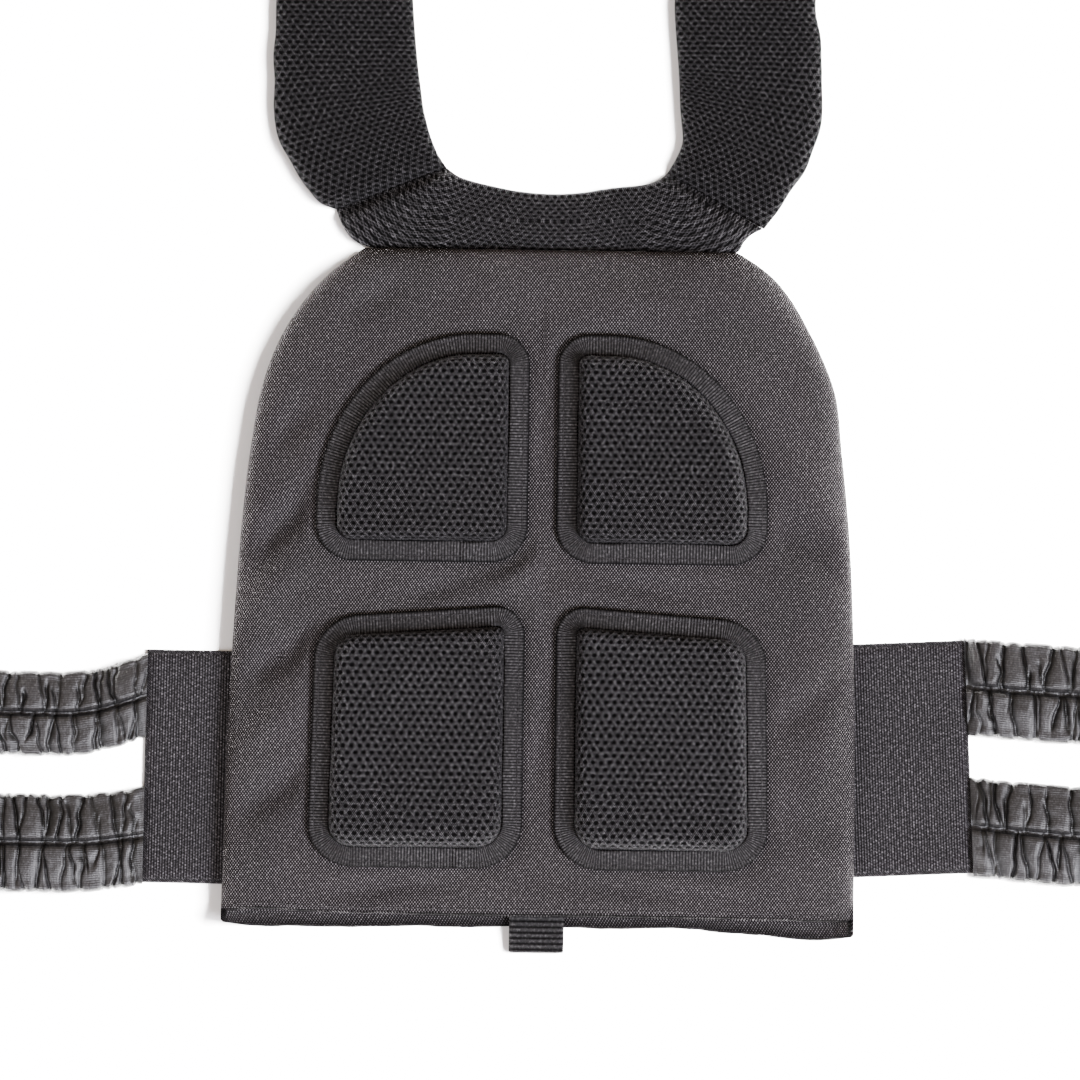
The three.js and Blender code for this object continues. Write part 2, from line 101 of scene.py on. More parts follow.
class Slot(Enum):
    """Material slots of the record."""

    PANEL = "panel_cloth"
    MESH = "spacer_mesh"
    BINDING = "binding_tape"
    WEBBING = "webbing"
    HOOK = "hook_tape"
    BAND = "gathered_band"


# Numbers and curves


def ease(share: Array) -> Array:
    """Smooth step: 3t^2 - 2t^3 of a share that is kept between 0 and 1."""
    held = np.clip(share, 0.0, 1.0)
    return held * held * (3.0 - 2.0 * held)


def smooth_noise(x: Array, y: Array, size: float, seed: int) -> Array:
    """Value noise: random values on a square net, eased between its knots.

    Args:
        x: First coordinate.
        y: Second coordinate, of the same shape.
        size: Distance between two knots of the net.
        seed: Seed of the net's values.

    Returns:
        Numbers from -1 to 1, of the same shape.
    """
    net = np.random.default_rng(seed).uniform(-1.0, 1.0, (64, 64))
    across, along = np.asarray(x) / size + 31.3, np.asarray(y) / size + 17.7
    i, j = np.floor(across).astype(int), np.floor(along).astype(int)
    p, q = ease(across - i), ease(along - j)
    low = net[i % 64, j % 64] * (1 - p) + net[(i + 1) % 64, j % 64] * p
    high = net[i % 64, (j + 1) % 64] * (1 - p) + net[(i + 1) % 64, (j + 1) % 64] * p
    return low * (1 - q) + high * q


def smooth_between(at: Array, places: Sequence[float], values: Sequence[float]) -> Array:
    """Cubic curve through a table, with each knot's slope taken from its neighbours.

    Args:
        at: Where the curve is read.
        places: Growing places of the knots.
        values: The curve's values there.

    Returns:
        The curve's values at those places.
    """
    xs, ys = np.asarray(places, float), np.asarray(values, float)
    slopes = np.gradient(ys, xs)
    i = np.clip(np.searchsorted(xs, at) - 1, 0, len(xs) - 2)
    step = xs[i + 1] - xs[i]
    t = np.clip((at - xs[i]) / step, 0.0, 1.0)
    first = (1 + 2 * t) * (1 - t) ** 2 * ys[i] + t * (1 - t) ** 2 * step * slopes[i]
    second = t * t * (3 - 2 * t) * ys[i + 1] - t * t * (1 - t) * step * slopes[i + 1]
    return first + second


def along_lengths(points: Array) -> Array:
    """Length along a line of points, from its start to each point."""
    steps = np.linalg.norm(np.diff(points, axis=0), axis=1)
    return np.concatenate([[0.0], np.cumsum(steps)])


def respaced(points: Array, count: int, closed: bool = False) -> Array:
    """The same line with evenly spaced points.

    Args:
        points: Points of the line.
        count: How many points the result has.
        closed: Whether the line ends where it starts; the last point is then left out.

    Returns:
        The new points.
    """
    line = np.vstack([points, points[:1]]) if closed else points
    lengths = along_lengths(line)
    at = np.linspace(0.0, lengths[-1], count, endpoint=not closed)
    return np.stack([np.interp(at, lengths, line[:, k]) for k in range(line.shape[1])], axis=1)


def unit(vectors: Array) -> Array:
    """The same directions with the length 1, one a row."""
    return vectors / np.maximum(np.linalg.norm(vectors, axis=-1, keepdims=True), 1e-12)


def inward_normals(loop: Array) -> Array:
    """Unit normals of a closed flat loop that runs counterclockwise, pointing inwards."""
    run = unit(np.roll(loop, -1, axis=0) - np.roll(loop, 1, axis=0))
    return np.stack([-run[:, 1], run[:, 0]], axis=1)


def nearest_on(loop: Array, points: Array) -> tuple[Array, Array]:
    """Index of the loop's nearest point and the distance to it, for each point.

    Args:
        loop: Points of a loop, two numbers a row.
        points: Points to look from, two numbers a row.

    Returns:
        The indices and the distances.
    """
    index = np.empty(len(points), int)
    for start in range(0, len(points), 8192):
        part = points[start:start + 8192]
        square = (part ** 2).sum(1)[:, None] - 2 * part @ loop.T + (loop ** 2).sum(1)
        index[start:start + 8192] = square.argmin(axis=1)
    return index, np.linalg.norm(points - loop[index], axis=1)


def turned(side: Side, tilt: float, x: Array, y: Array) -> tuple[Array, Array]:
    """Place in the vest's plan of a place in a closure's own plan, which is tilted."""
    angle = side.value * math.radians(tilt)
    return x * math.cos(angle) - y * math.sin(angle), x * math.sin(angle) + y * math.cos(angle)


# Skins and pieces


@dataclass
class Skin:
    """Part of a surface: its points, its four-cornered faces, its place on the cloth and a shade."""

    points: Array
    quads: Array
    cloth: Array
    shade: Array

    @classmethod
    def grid(cls, points: Array, cloth: Array, shade: Array | None = None, rows_closed: bool = False,
             columns_closed: bool = False) -> "Skin":
        """Skin over a grid of points.

        Args:
            points: Rows by columns by three numbers.
            cloth: Rows by columns by two numbers, lengths along the cloth.
            shade: Rows by columns, a number that the material reads. None for 0 everywhere.
            rows_closed: Whether the last row joins the first one.
            columns_closed: Whether the last column joins the first one.

        Returns:
            The skin.
        """
        rows, columns = points.shape[:2]
        i = np.arange(rows if rows_closed else rows - 1)[:, None]
        j = np.arange(columns if columns_closed else columns - 1)[None, :]
        next_i, next_j = (i + 1) % rows, (j + 1) % columns
        corners = [i * columns + j, i * columns + next_j, next_i * columns + next_j,
                   next_i * columns + j]
        quads = np.stack([np.broadcast_to(c, (i.size, j.size)) for c in corners], axis=-1)
        values = np.zeros(rows * columns) if shade is None else shade.reshape(-1)
        return cls(points.reshape(-1, 3), quads.reshape(-1, 4), cloth.reshape(-1, 2), values)


def closed_slab(over: Array, under: Array, cloth: Array, shade: Array) -> Skin:
    """Two grids of equal size, one over the other, closed all round their rims.

    Args:
        over: Points of the upper grid, rows by columns by three numbers.
        under: Points of the lower grid.
        cloth: Cloth coordinates of both.
        shade: Shade of the upper grid; the lower one has 0.

    Returns:
        The closed skin.
    """
    rows, columns = shade.shape
    upper, lower = Skin.grid(over, cloth, shade), Skin.grid(under, cloth)
    size = rows * columns
    index = np.arange(size).reshape(rows, columns)
    rim = np.concatenate([index[0, :-1], index[:-1, -1], index[-1, :0:-1], index[:0:-1, 0]])
    after = np.roll(rim, -1)
    sides = np.stack([rim, rim + size, after + size, after], axis=1)
    return Skin(np.concatenate([upper.points, lower.points]),
                np.concatenate([upper.quads, (lower.quads + size)[:, ::-1], sides]),
                np.concatenate([upper.cloth, lower.cloth]),
                np.concatenate([upper.shade, lower.shade]))


def mesh_of(name: str, skin: Skin, fill: bool) -> bpy.types.Mesh:
    """Mesh of a skin, with its cloth map and shade, turned so that its faces point outwards.

    Args:
        name: Name of the mesh.
        skin: The skin.
        fill: Whether open rims are closed by a face each.

    Returns:
        The mesh.
    """
    mesh = bpy.data.meshes.new(name)
    count, faces = len(skin.points), len(skin.quads)
    mesh.vertices.add(count)
    mesh.vertices.foreach_set("co", skin.points.astype(np.float32).ravel())
    mesh.loops.add(faces * 4)
    mesh.loops.foreach_set("vertex_index", skin.quads.astype(np.int32).ravel())
    mesh.polygons.add(faces)
    mesh.polygons.foreach_set("loop_start", np.arange(0, faces * 4, 4, dtype=np.int32))
    mesh.update(calc_edges=True)
    layer = mesh.uv_layers.new(name="cloth")
    layer.data.foreach_set("uv", skin.cloth[skin.quads.ravel()].astype(np.float32).ravel())
    shade = mesh.attributes.new("shade", "FLOAT", "POINT")
    shade.data.foreach_set("value", skin.shade.astype(np.float32))
    if fill:
        shell = bmesh.new()
        shell.from_mesh(mesh)
        rims = [edge for edge in shell.edges if len(edge.link_faces) == 1]
        bmesh.ops.holes_fill(shell, edges=rims, sides=0)
        bmesh.ops.triangulate(shell, faces=[face for face in shell.faces if len(face.verts) > 4])
        bmesh.ops.recalc_face_normals(shell, faces=shell.faces)
        shell.to_mesh(mesh)
        shell.free()
    mesh.validate()
    if signed_volume(mesh) < 0:
        mesh.flip_normals()
    mesh.polygons.foreach_set("use_smooth", np.ones(len(mesh.polygons), bool))
    mesh.update()
    return mesh


def signed_volume(mesh: bpy.types.Mesh) -> float:
    """Volume inside a mesh: a sixth of the sum of its triangles' triple products.

    Args:
        mesh: A closed mesh.

    Returns:
        The volume, negative where the faces point inwards.
    """
    mesh.calc_loop_triangles()
    points = np.empty(len(mesh.vertices) * 3, np.float32)
    mesh.vertices.foreach_get("co", points)
    corners = np.empty(len(mesh.loop_triangles) * 3, np.int32)
    mesh.loop_triangles.foreach_get("vertices", corners)
    a, b, c = (points.reshape(-1, 3)[corners.reshape(-1, 3)[:, k]].astype(float) for k in range(3))
    return float((a * np.cross(b, c)).sum() / 6)


@dataclass(frozen=True)
class Cut:
    """Flat size that a sheet was cut to, and how it is held."""

    width: float
    length: float
    held: str = "laid"
    rests_on: tuple[str, ...] = ("floor",)
    area: float | None = None


def place_piece(name: str, skin: Skin, material: Material, slot: Slot, stands_for: Iterable[str] = (),
                cut: Cut | None = None, fill: bool = False) -> bpy.types.Object:
    """Put a skin into the scene as a piece of the vest.

    Args:
        name: Name of the piece and its mesh.
        skin: Its surface, in the vest's frame.
        material: Its finish.
        slot: The record's material slot that the finish belongs to; not used.
        stands_for: Nodes that it replaces.
        cut: Its flat size, where it is a sheet.
        fill: Whether open rims are closed by a face each.

    Returns:
        The piece.
    """
    mesh = mesh_of(name, skin, fill)
    piece = bpy.data.objects.new(name, mesh)
    bpy.context.scene.collection.objects.link(piece)
    mesh.materials.append(material)
    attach(piece, "root")
    nodes = list(stands_for)
    if nodes:
        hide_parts(*nodes)
    if cut:
        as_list(cut.rests_on)
    mesh.calc_loop_triangles()
    log.info("%s: %d triangles", name, len(mesh.loop_triangles))
    return piece


@dataclass(frozen=True)
class Seam:
    """Sizes of a row of stitches."""

    pitch: float
    length: float
    radius: float


HEM_SEAM = Seam(pitch=0.0031, length=0.0026, radius=0.00036)
BINDING_SEAM = Seam(pitch=0.0030, length=0.0024, radius=0.00027)
BAND_SEAM = Seam(pitch=0.0034, length=0.0028, radius=0.00030)


def stitches(centres: Array, runs: Array, seam: Seam) -> Skin:
    """Row of sewn stitches on level cloth: spindles, thickest in the middle, that sink at both ends.

    A ring at a share t of the length has the radius r times the square root of 1 - t^2, and its
    middle drops by the square of t.

    Args:
        centres: Middle of each stitch.
        runs: Unit direction of each stitch.
        seam: Sizes of the stitches.

    Returns:
        The skin of them all.
    """
    shares = np.array([-1.0, -0.72, 0.0, 0.72, 1.0])
    angles = np.arange(STITCH_SECTION) * 2 * math.pi / STITCH_SECTION
    ups = np.broadcast_to([0.0, 0.0, 1.0], runs.shape)
    sides = np.cross(runs, ups)
    swell = seam.radius * np.sqrt(np.maximum(1.0 - shares ** 2, 0.02))
    drop = -0.8 * seam.radius * shares ** 2
    steps = (shares * seam.length / 2)[None, :, None, None]
    along = centres[:, None, None, :] + runs[:, None, None, :] * steps
    ring = (sides[:, None, None, :] * np.cos(angles)[None, None, :, None]
            + ups[:, None, None, :] * np.sin(angles)[None, None, :, None])
    points = along + ring * swell[None, :, None, None] + ups[:, None, None, :] * drop[None, :, None, None]
    skins = Skin.grid(points[0], np.zeros(points.shape[1:3] + (2,)), columns_closed=True)
    size = points.shape[1] * points.shape[2]
    quads = skins.quads[None] + (np.arange(len(points)) * size)[:, None, None]
    ends = np.arange(STITCH_SECTION)
    last = size - STITCH_SECTION
    caps = np.array([ends[[0, 1, 2, 3]], ends[[0, 3, 4, 5]],
                     last + ends[[3, 2, 1, 0]], last + ends[[5, 4, 3, 0]]])
    all_caps = caps[None] + (np.arange(len(points)) * size)[:, None, None]
    flat = points.reshape(-1, 3)
    faces = np.concatenate([quads.reshape(-1, 4), all_caps.reshape(-1, 4)])
    return Skin(flat, faces, np.zeros((len(flat), 2)), np.zeros(len(flat)))


def tape_section(top: int, power: float) -> tuple[Array, Array, Array]:
    """Section of a flat tape: columns over its outer face and back along its inner one."""
    across = np.concatenate([np.linspace(-1, 1, top), np.linspace(1, -1, 8)[1:-1]])
    edge = np.sqrt(np.maximum(1 - np.abs(across) ** power, 0.0))
    return across, edge, np.arange(len(across)) < top


# Materials


class Net:
    """Short forms for wiring a node tree."""

    def __init__(self, tree: bpy.types.NodeTree) -> None:
        """Keep the tree."""
        self.tree = tree

    def node(self, kind: str, **settings: Any) -> bpy.types.Node:
        """Add a node."""
        made = self.tree.nodes.new(kind)
        for key, value in settings.items():
            setattr(made, key, value)
        return made

    def feed(self, socket: Socket, value: Any) -> None:
        """Link a socket to an input, or set the input's value."""
        if isinstance(value, bpy.types.NodeSocket):
            self.tree.links.new(value, socket)
        else:
            socket.default_value = value

    def fed(self, made: bpy.types.Node, values: Iterable[Any]) -> bpy.types.Node:
        """The same node, with values or links for its first inputs."""
        for socket, value in zip(made.inputs, values):
            self.feed(socket, value)
        return made

    def math(self, operation: str, *values: Any, clamp: bool = False) -> Socket:
        """Math node with its inputs in order."""
        return self.fed(self.node("ShaderNodeMath", operation=operation, use_clamp=clamp), values).outputs[0]

    def vector(self, operation: str, *values: Any) -> bpy.types.Node:
        """Vector math node with its inputs in order."""
        return self.fed(self.node("ShaderNodeVectorMath", operation=operation), values)

    def times(self, one: Any, other: Any) -> Socket:
        """Product of two numbers."""
        return self.math("MULTIPLY", one, other)

    def line(self, value: Any, slope: Any, start: Any, clamp: bool = False) -> Socket:
        """A value times a slope, plus a start."""
        return self.math("MULTIPLY_ADD", value, slope, start, clamp=clamp)

    def shade(self) -> Socket:
        """The shade that the skin's points carry."""
        return self.node("ShaderNodeAttribute", attribute_name="shade").outputs["Fac"]

    def parts(self, vector: Socket) -> Sequence[Socket]:
        """The vector's three numbers."""
        made = self.node("ShaderNodeSeparateXYZ")
        self.feed(made.inputs[0], vector)
        return made.outputs

    def placed(self, tree: bpy.types.NodeTree, given: dict[str, Any]) -> bpy.types.Node:
        """Node group placed here."""
        made = self.node("ShaderNodeGroup", node_tree=tree)
        for label, value in given.items():
            self.feed(made.inputs[label], value)
        return made

    def scaled(self, colour: Any, factor: Any) -> Socket:
        """Colour times a number."""
        made = self.vector("SCALE", colour)
        self.feed(made.inputs[3], factor)
        return made.outputs[0]

    def noise(self, vector: Socket, scale: float, detail: float = 2.0) -> Socket:
        """Noise of a number of bumps for each metre.

        Args:
            vector: Coordinates in metres.
            scale: Bumps for each metre.
            detail: How many finer layers are added.

        Returns:
            A number from 0 to 1.
        """
        made = self.node("ShaderNodeTexNoise")
        self.feed(made.inputs["Vector"], vector)
        made.inputs["Scale"].default_value = scale
        made.inputs["Detail"].default_value = detail
        return made.outputs[0]


def group(name: str, inputs: dict[str, float | None], outputs: Sequence[str],
          build: Callable[[Net, dict[str, Socket]], dict[str, Socket]]) -> bpy.types.NodeTree:
    """Node group with named sockets.

    Args:
        name: Name of the group.
        inputs: Default of each number input by its name, None for a vector.
        outputs: Names of its number outputs.
        build: Wires the group: takes the net and the inputs by name, and gives the outputs by name.

    Returns:
        The group.
    """
    tree = bpy.data.node_groups.new(name, "ShaderNodeTree")
    for label, value in inputs.items():
        kind = "NodeSocketVector" if value is None else "NodeSocketFloat"
        socket = tree.interface.new_socket(label, in_out="INPUT", socket_type=kind)
        if value is not None:
            socket.default_value = value
    for label in outputs:
        tree.interface.new_socket(label, in_out="OUTPUT", socket_type="NodeSocketFloat")
    net = Net(tree)
    start, end = net.node("NodeGroupInput"), net.node("NodeGroupOutput")
    made = build(net, {label: start.outputs[label] for label in inputs})
    for label in outputs:
        net.feed(end.inputs[label], made[label])
    return tree


def thread_wave_group() -> bpy.types.NodeTree:
    """Rows of threads: 0.5 + 0.5 sin(2 pi (waves . place)), raised to a power.

    Returns:
        The group, with the output Height.
    """
    def build(net: Net, given: dict[str, Socket]) -> dict[str, Socket]:
        """Wire the group."""
        turns = net.vector("DOT_PRODUCT", given["Vector"], given["Waves"]).outputs["Value"]
        half = net.line(net.math("SINE", net.times(turns, 2 * math.pi)), 0.5, 0.5)
        return {"Height": net.math("POWER", half, given["Sharpness"])}

    return group("thread_wave", {"Vector": None, "Waves": None, "Sharpness": 1.0}, ["Height"], build)


def lattice_group() -> bpy.types.NodeTree:
    """Staggered rows of oval holes: 1 in a hole and 0 on the strands between them.

    Returns:
        The group, with the output Hole.
    """
    def build(net: Net, given: dict[str, Socket]) -> dict[str, Socket]:
        """Wire the group."""
        x, y, _ = net.parts(given["Vector"])
        rows = net.math("DIVIDE", y, given["Row"])
        row = net.math("ROUND", rows)
        odd = net.math("FLOORED_MODULO", row, 2.0)
        columns = net.line(odd, -0.5, net.math("DIVIDE", x, given["Pitch"]))
        dx = net.times(net.math("SUBTRACT", columns, net.math("ROUND", columns)), given["Pitch"])
        dy = net.times(net.math("SUBTRACT", rows, row), given["Row"])
        wide = net.math("POWER", net.math("DIVIDE", dx, given["Half Width"]), 2.0)
        high = net.math("POWER", net.math("DIVIDE", dy, given["Half Height"]), 2.0)
        out = net.math("SQRT", net.math("ADD", wide, high))
        return {"Hole": net.line(out, -2.4, 2.55, clamp=True)}

    sizes = {"Pitch": 0.0037, "Row": 0.003, "Half Width": 0.0012, "Half Height": 0.001}
    return group("staggered_holes", {"Vector": None, **sizes}, ["Hole"], build)


def fibre_group() -> bpy.types.NodeTree:
    """Unevenness of dyed cloth: broad patches, single fibres that shine, and irregular speckle.

    The speckle is a cubed noise, so that most of it is dark and a few places are bright.

    Returns:
        The group, with the outputs Patches, Fibres and Speckle.
    """
    def build(net: Net, given: dict[str, Socket]) -> dict[str, Socket]:
        """Wire the group."""
        broad = net.noise(given["Vector"], 22.0, 3.0)
        fine = net.noise(given["Vector"], 2600.0, 1.0)
        grain = net.noise(given["Vector"], 760.0, 2.0)
        above = net.math("MAXIMUM", net.line(grain, 6.0, -2.05), 0.0)
        spots = net.math("MINIMUM", net.math("POWER", above, 2.2), 5.0)
        return {
            "Patches": net.line(net.math("SUBTRACT", broad, 0.5), given["Patchiness"], 1.0),
            "Fibres": net.line(net.math("SUBTRACT", fine, 0.5), given["Fuzz"], 1.0),
            "Speckle": net.line(net.math("SUBTRACT", spots, 1.0), given["Speckling"], 1.0),
        }

    strengths = {"Patchiness": 0.3, "Fuzz": 0.8, "Speckling": 0.5}
    return group("fibre_unevenness", {"Vector": None, **strengths}, ["Patches", "Fibres", "Speckle"], build)


class Groups:
    """The shared node groups, built once."""

    def __init__(self) -> None:
        """Build them."""
        self.wave = thread_wave_group()
        self.fibre = fibre_group()
        self.lattice = lattice_group()


class Loom(Net):
    """Net of a cloth's material: rows of threads and uneven fibres at the cloth's coordinates."""

    def __init__(self, tree: bpy.types.NodeTree, groups: Groups, mapped: bool) -> None:
        """Keep the groups, and read the cloth's own coordinates, or the vest's where it has no map."""
        super().__init__(tree)
        self.groups = groups
        if mapped:
            self.place = self.node("ShaderNodeUVMap", uv_map="cloth").outputs[0]
        else:
            self.place = self.node("ShaderNodeTexCoord").outputs["Object"]

    def waves(self, along: float, across: float, sharpness: float = 1.0) -> Socket:
        """Height of a row of threads: waves for each metre along both axes, raised to a power."""
        given = {"Vector": self.place, "Waves": (along, across, 0.0), "Sharpness": sharpness}
        return self.placed(self.groups.wave, given).outputs["Height"]

    def crossed(self, along: float, across: float, sharpness: float = 1.0) -> tuple[Socket, Socket]:
        """Heights of two rows of threads that slant one way and the other."""
        return self.waves(along, across, sharpness), self.waves(along, -across, sharpness)

    def uneven(self, tone: Socket, strengths: tuple[float, float, float]) -> Socket:
        """A tone times the cloth's patches, fibres and speckle, which have a strength each."""
        given = dict(zip(("Patchiness", "Fuzz", "Speckling"), strengths))
        made = self.placed(self.groups.fibre, {"Vector": self.place, **given})
        for label in ("Patches", "Fibres", "Speckle"):
            tone = self.times(tone, made.outputs[label])
        return tone


@dataclass(frozen=True)
class Finish:
    """What all finishes of this vest share."""

    name: str
    colour: tuple[float, float, float]
    roughness: float = 0.9
    relief: float = 0.0003
    specular: float = 0.12
    unevenness: tuple[float, float, float] = (0.3, 1.2, 0.3)
    contrast: tuple[float, float] = (1.0, 0.0)
    mapped: bool = True

    def pattern(self, loom: Loom) -> tuple[Socket, Socket]:
        """Tone that the colour is multiplied by, and height: each finish has its own."""
        raise NotImplementedError

    def build(self, groups: Groups) -> Material:
        """Make the material: its colour times the uneven tone, with a bump for the height.

        Args:
            groups: The shared node groups.

        Returns:
            The material.
        """
        material = bpy.data.materials.new(self.name)
        material.use_nodes = True
        loom = Loom(material.node_tree, groups, self.mapped)
        shader = material.node_tree.nodes["Principled BSDF"]
        shader.inputs["Roughness"].default_value = self.roughness
        shader.inputs["Specular IOR Level"].default_value = self.specular
        tone, height = self.pattern(loom)
        tone = loom.uneven(tone, self.unevenness)
        loom.feed(shader.inputs["Base Color"], loom.scaled(self.colour, tone))
        bump = loom.node("ShaderNodeBump")
        bump.inputs["Distance"].default_value = self.relief
        loom.feed(bump.inputs["Height"], height)
        loom.feed(shader.inputs["Normal"], bump.outputs[0])
        return material


@dataclass(frozen=True)
class PackCloth(Finish):
    """Heavy nylon cloth: a close diagonal weave of thick yarns, darkened by painted shade where the shade is
    1.
    """

    contrast: tuple[float, float] = (5.0, 0.12)
    yarns: tuple[float, float] = (720.0, 560.0)
    shadow: float = -0.75

    def pattern(self, loom: Loom) -> tuple[Socket, Socket]:
        """Tone and height: the product of two rows of yarns that cross."""
        weave = loom.times(*loom.crossed(*self.yarns, 1.5))
        # Painted shade: the fold along the mouth's edge is darkened where the shade is 1.
        edge = loom.line(loom.shade(), self.shadow, 1.0, clamp=True)
        return loom.times(loom.line(weave, *self.contrast), edge), weave


@dataclass(frozen=True)
class SpacerMesh(Finish):
    """Open knitted mesh: strands of small loops round holes darkened by painted shade, wherever the shade is
    1.
    """

    contrast: tuple[float, float] = (2.6, 0.1)
    pitch: float = 0.0037
    row: float = 0.00296
    hole: tuple[float, float] = (0.0012, 0.00105)
    hole_shade_tone: float = 0.02
    loops: tuple[float, float] = (1050.0, 720.0)

    def pattern(self, loom: Loom) -> tuple[Socket, Socket]:
        """Tone and height: loops along two slants, the tone darkened by painted shade in the holes."""
        loops = loom.math("MAXIMUM", *loom.crossed(*self.loops, 2.2))
        sizes = dict(zip(("Pitch", "Row", "Half Width", "Half Height"), (self.pitch, self.row, *self.hole)))
        holes = loom.placed(loom.groups.lattice, {"Vector": loom.place, **sizes})
        # Painted shade: the holes go near black where the skin's shade lets them show.
        depth = loom.times(holes.outputs["Hole"], loom.shade())
        strand = loom.line(depth, self.hole_shade_tone - 1.0, 1.0, clamp=True)
        return loom.times(loom.line(loops, *self.contrast), strand), loops


@dataclass(frozen=True)
class RibbedTape(Finish):
    """Woven tape whose ribs run across it: grosgrain or webbing."""

    rib_pitch: float = 0.0014
    rib_tone: float = 1.6
    gap_tone: float = 0.12
    edge_shadow_tone: float = 0.1
    edge_shadow_width: float = 0.0
    cross_yarns: float = 2100.0

    def pattern(self, loom: Loom) -> tuple[Socket, Socket]:
        """Tone and height: ribs, the yarns that cross them, and a painted shadow along the outer edge."""
        rib = loom.waves(1.0 / self.rib_pitch, 0.0, 0.7)
        yarn = loom.waves(1.0 / self.rib_pitch, self.cross_yarns)
        tone = loom.line(rib, self.rib_tone * (1 - self.gap_tone), self.gap_tone)
        tone = loom.times(tone, loom.line(yarn, 0.6, 0.75))
        # Painted shadow: a thin dark line along the outer edge, where the tape lies on the panel.
        if self.edge_shadow_width:
            inside = loom.math("DIVIDE", loom.parts(loom.place)[1], self.edge_shadow_width, clamp=True)
            tone = loom.times(tone, loom.line(inside, 1.0 - self.edge_shadow_tone, self.edge_shadow_tone))
        return tone, loom.line(yarn, 0.4, rib)


@dataclass(frozen=True)
class HookTape(Finish):
    """Hook tape: staggered rows of small hooks over a dark ground, with a plain woven border."""

    contrast: tuple[float, float] = (3.6, 0.12)
    column_pitch: float = 0.00127
    row_pitch: float = 0.00136
    ground_yarns: float = 900.0

    def pattern(self, loom: Loom) -> tuple[Socket, Socket]:
        """Tone and height: hooks where the shade is 1, and a plain weave where it is 0."""
        column, row = 1.0 / self.column_pitch, 1.0 / self.row_pitch
        columns = loom.waves(column, 0.0, 0.8)
        slant, counter = loom.crossed(column / 2, row)
        hooks = loom.times(columns, loom.line(slant, 0.55, loom.line(counter, 0.3, 0.2)))
        ground = loom.waves(self.ground_yarns, self.ground_yarns)
        hooked = loom.shade()
        plain = loom.times(loom.times(ground, 0.5), loom.math("SUBTRACT", 1.0, hooked))
        height = loom.line(hooks, hooked, plain)
        return loom.line(height, *self.contrast), height


@dataclass(frozen=True)
class BandNylon(Finish):
    """Thin nylon with a slight shine, gathered, its grid of yarns just visible."""

    contrast: tuple[float, float] = (1.3, 0.55)
    yarns: float = 1000.0
    shadow: float = -1.1

    def pattern(self, loom: Loom) -> tuple[Socket, Socket]:
        """Tone and height: a fine square grid, the tone darkened by painted shade where the shade is 1: down
        in the creases and the seam.
        """
        weave = loom.times(loom.waves(self.yarns, 0.0), loom.waves(0.0, self.yarns))
        crease = loom.line(loom.shade(), self.shadow, 1.0, clamp=True)
        return loom.times(loom.line(weave, *self.contrast), crease), weave


@dataclass(frozen=True)
class Thread(Finish):
    """Sewing thread, twisted, without a cloth map of its own."""

    contrast: tuple[float, float] = (0.6, 0.7)
    mapped: bool = False
    twist: float = 1500.0

    def pattern(self, loom: Loom) -> tuple[Socket, Socket]:
        """Tone and height: the thread's twist."""
        twist = loom.waves(self.twist, self.twist)
        return loom.line(twist, *self.contrast), twist


@dataclass
class Wardrobe:
    """Every finish of the vest, built once."""

    groups: Groups = field(default_factory=Groups)

    def __post_init__(self) -> None:
        """Build the finishes."""
        groups = self.groups
        self.cloth = PackCloth("pack_cloth", (0.0462, 0.0428, 0.0441), specular=0.03,
                               unevenness=(0.5, 1.5, 0.25)).build(groups)
        black = np.array([0.0225, 0.0217, 0.0228])
        self.meshes = {name: SpacerMesh("spacer_mesh_" + name, tuple(lattice.tone * black), relief=0.0004,
                                        unevenness=(0.3, 1.2, 0.4), pitch=lattice.pitch, row=lattice.row,
                                        hole=lattice.hole).build(groups)
                       for name, lattice in LATTICES.items()}
        # The grosgrain carries a painted shadow along its outer edge.
        self.grosgrain = RibbedTape("grosgrain", (0.0292, 0.0280, 0.0288), relief=0.0001,
                                    edge_shadow_width=0.0012).build(groups)
        self.webbing = RibbedTape("webbing", (0.019, 0.0184, 0.0189), rib_pitch=0.0026).build(groups)
        self.hook = HookTape("hook_tape", (0.0255, 0.0240, 0.0258), relief=0.0005,
                             unevenness=(0.35, 1.2, 0.45)).build(groups)
        self.nylon = BandNylon("band_nylon", (0.0232, 0.0224, 0.0236), roughness=0.38, relief=0.0001,
                               specular=0.6, unevenness=(0.4, 1.0, 0.3)).build(groups)
        self.thread = Thread("sewing_thread", (0.030, 0.028, 0.029), roughness=0.6, relief=0.0001,
                             unevenness=(0.3, 0.8, 0.2)).build(groups)


# Panels

# Outline of a panel: up is a share of its height, left and right are shares of its half width.
PANEL_OUTLINE = {
    "up": (0.0, 0.12, 0.26, 0.42, 0.58, 0.70, 0.80, 0.845, 0.885, 0.933, 0.965, 0.989, 1.0),
    "left": (0.996, 0.993, 0.986, 0.971, 0.950, 0.924, 0.886, 0.853, 0.811, 0.739, 0.674, 0.606, 0.572),
    "right": (1.0, 1.0, 0.998, 0.990, 0.972, 0.946, 0.916, 0.878, 0.835, 0.774, 0.716, 0.647, 0.608),
}
# Edges of the two layers at the mouth, in millimetres: u from the centre line, v above the hem.
MOUTH_TOP = {
    "u": (-146, -137, -100, -60, -12, 40, 81, 115, 137, 147),
    "v": (1.6, 2.7, 1.9, 1.5, 1.2, 1.3, 1.1, 0.8, 0.5, 0.9),
}
MOUTH_LOWER = {
    "u": (-146, -137, -128, -109, -93, -63, -26, -12, 15, 30, 76, 81, 107, 122, 127, 141, 147),
    "v": (-2.8, -4.3, -4.6, -4.3, -4.6, -3.7, -3.6, -3.0, -3.5, -3.8, -3.7, -4.3, -5.9, -7.5, -7.8, -6.9,
          -6.2),
}
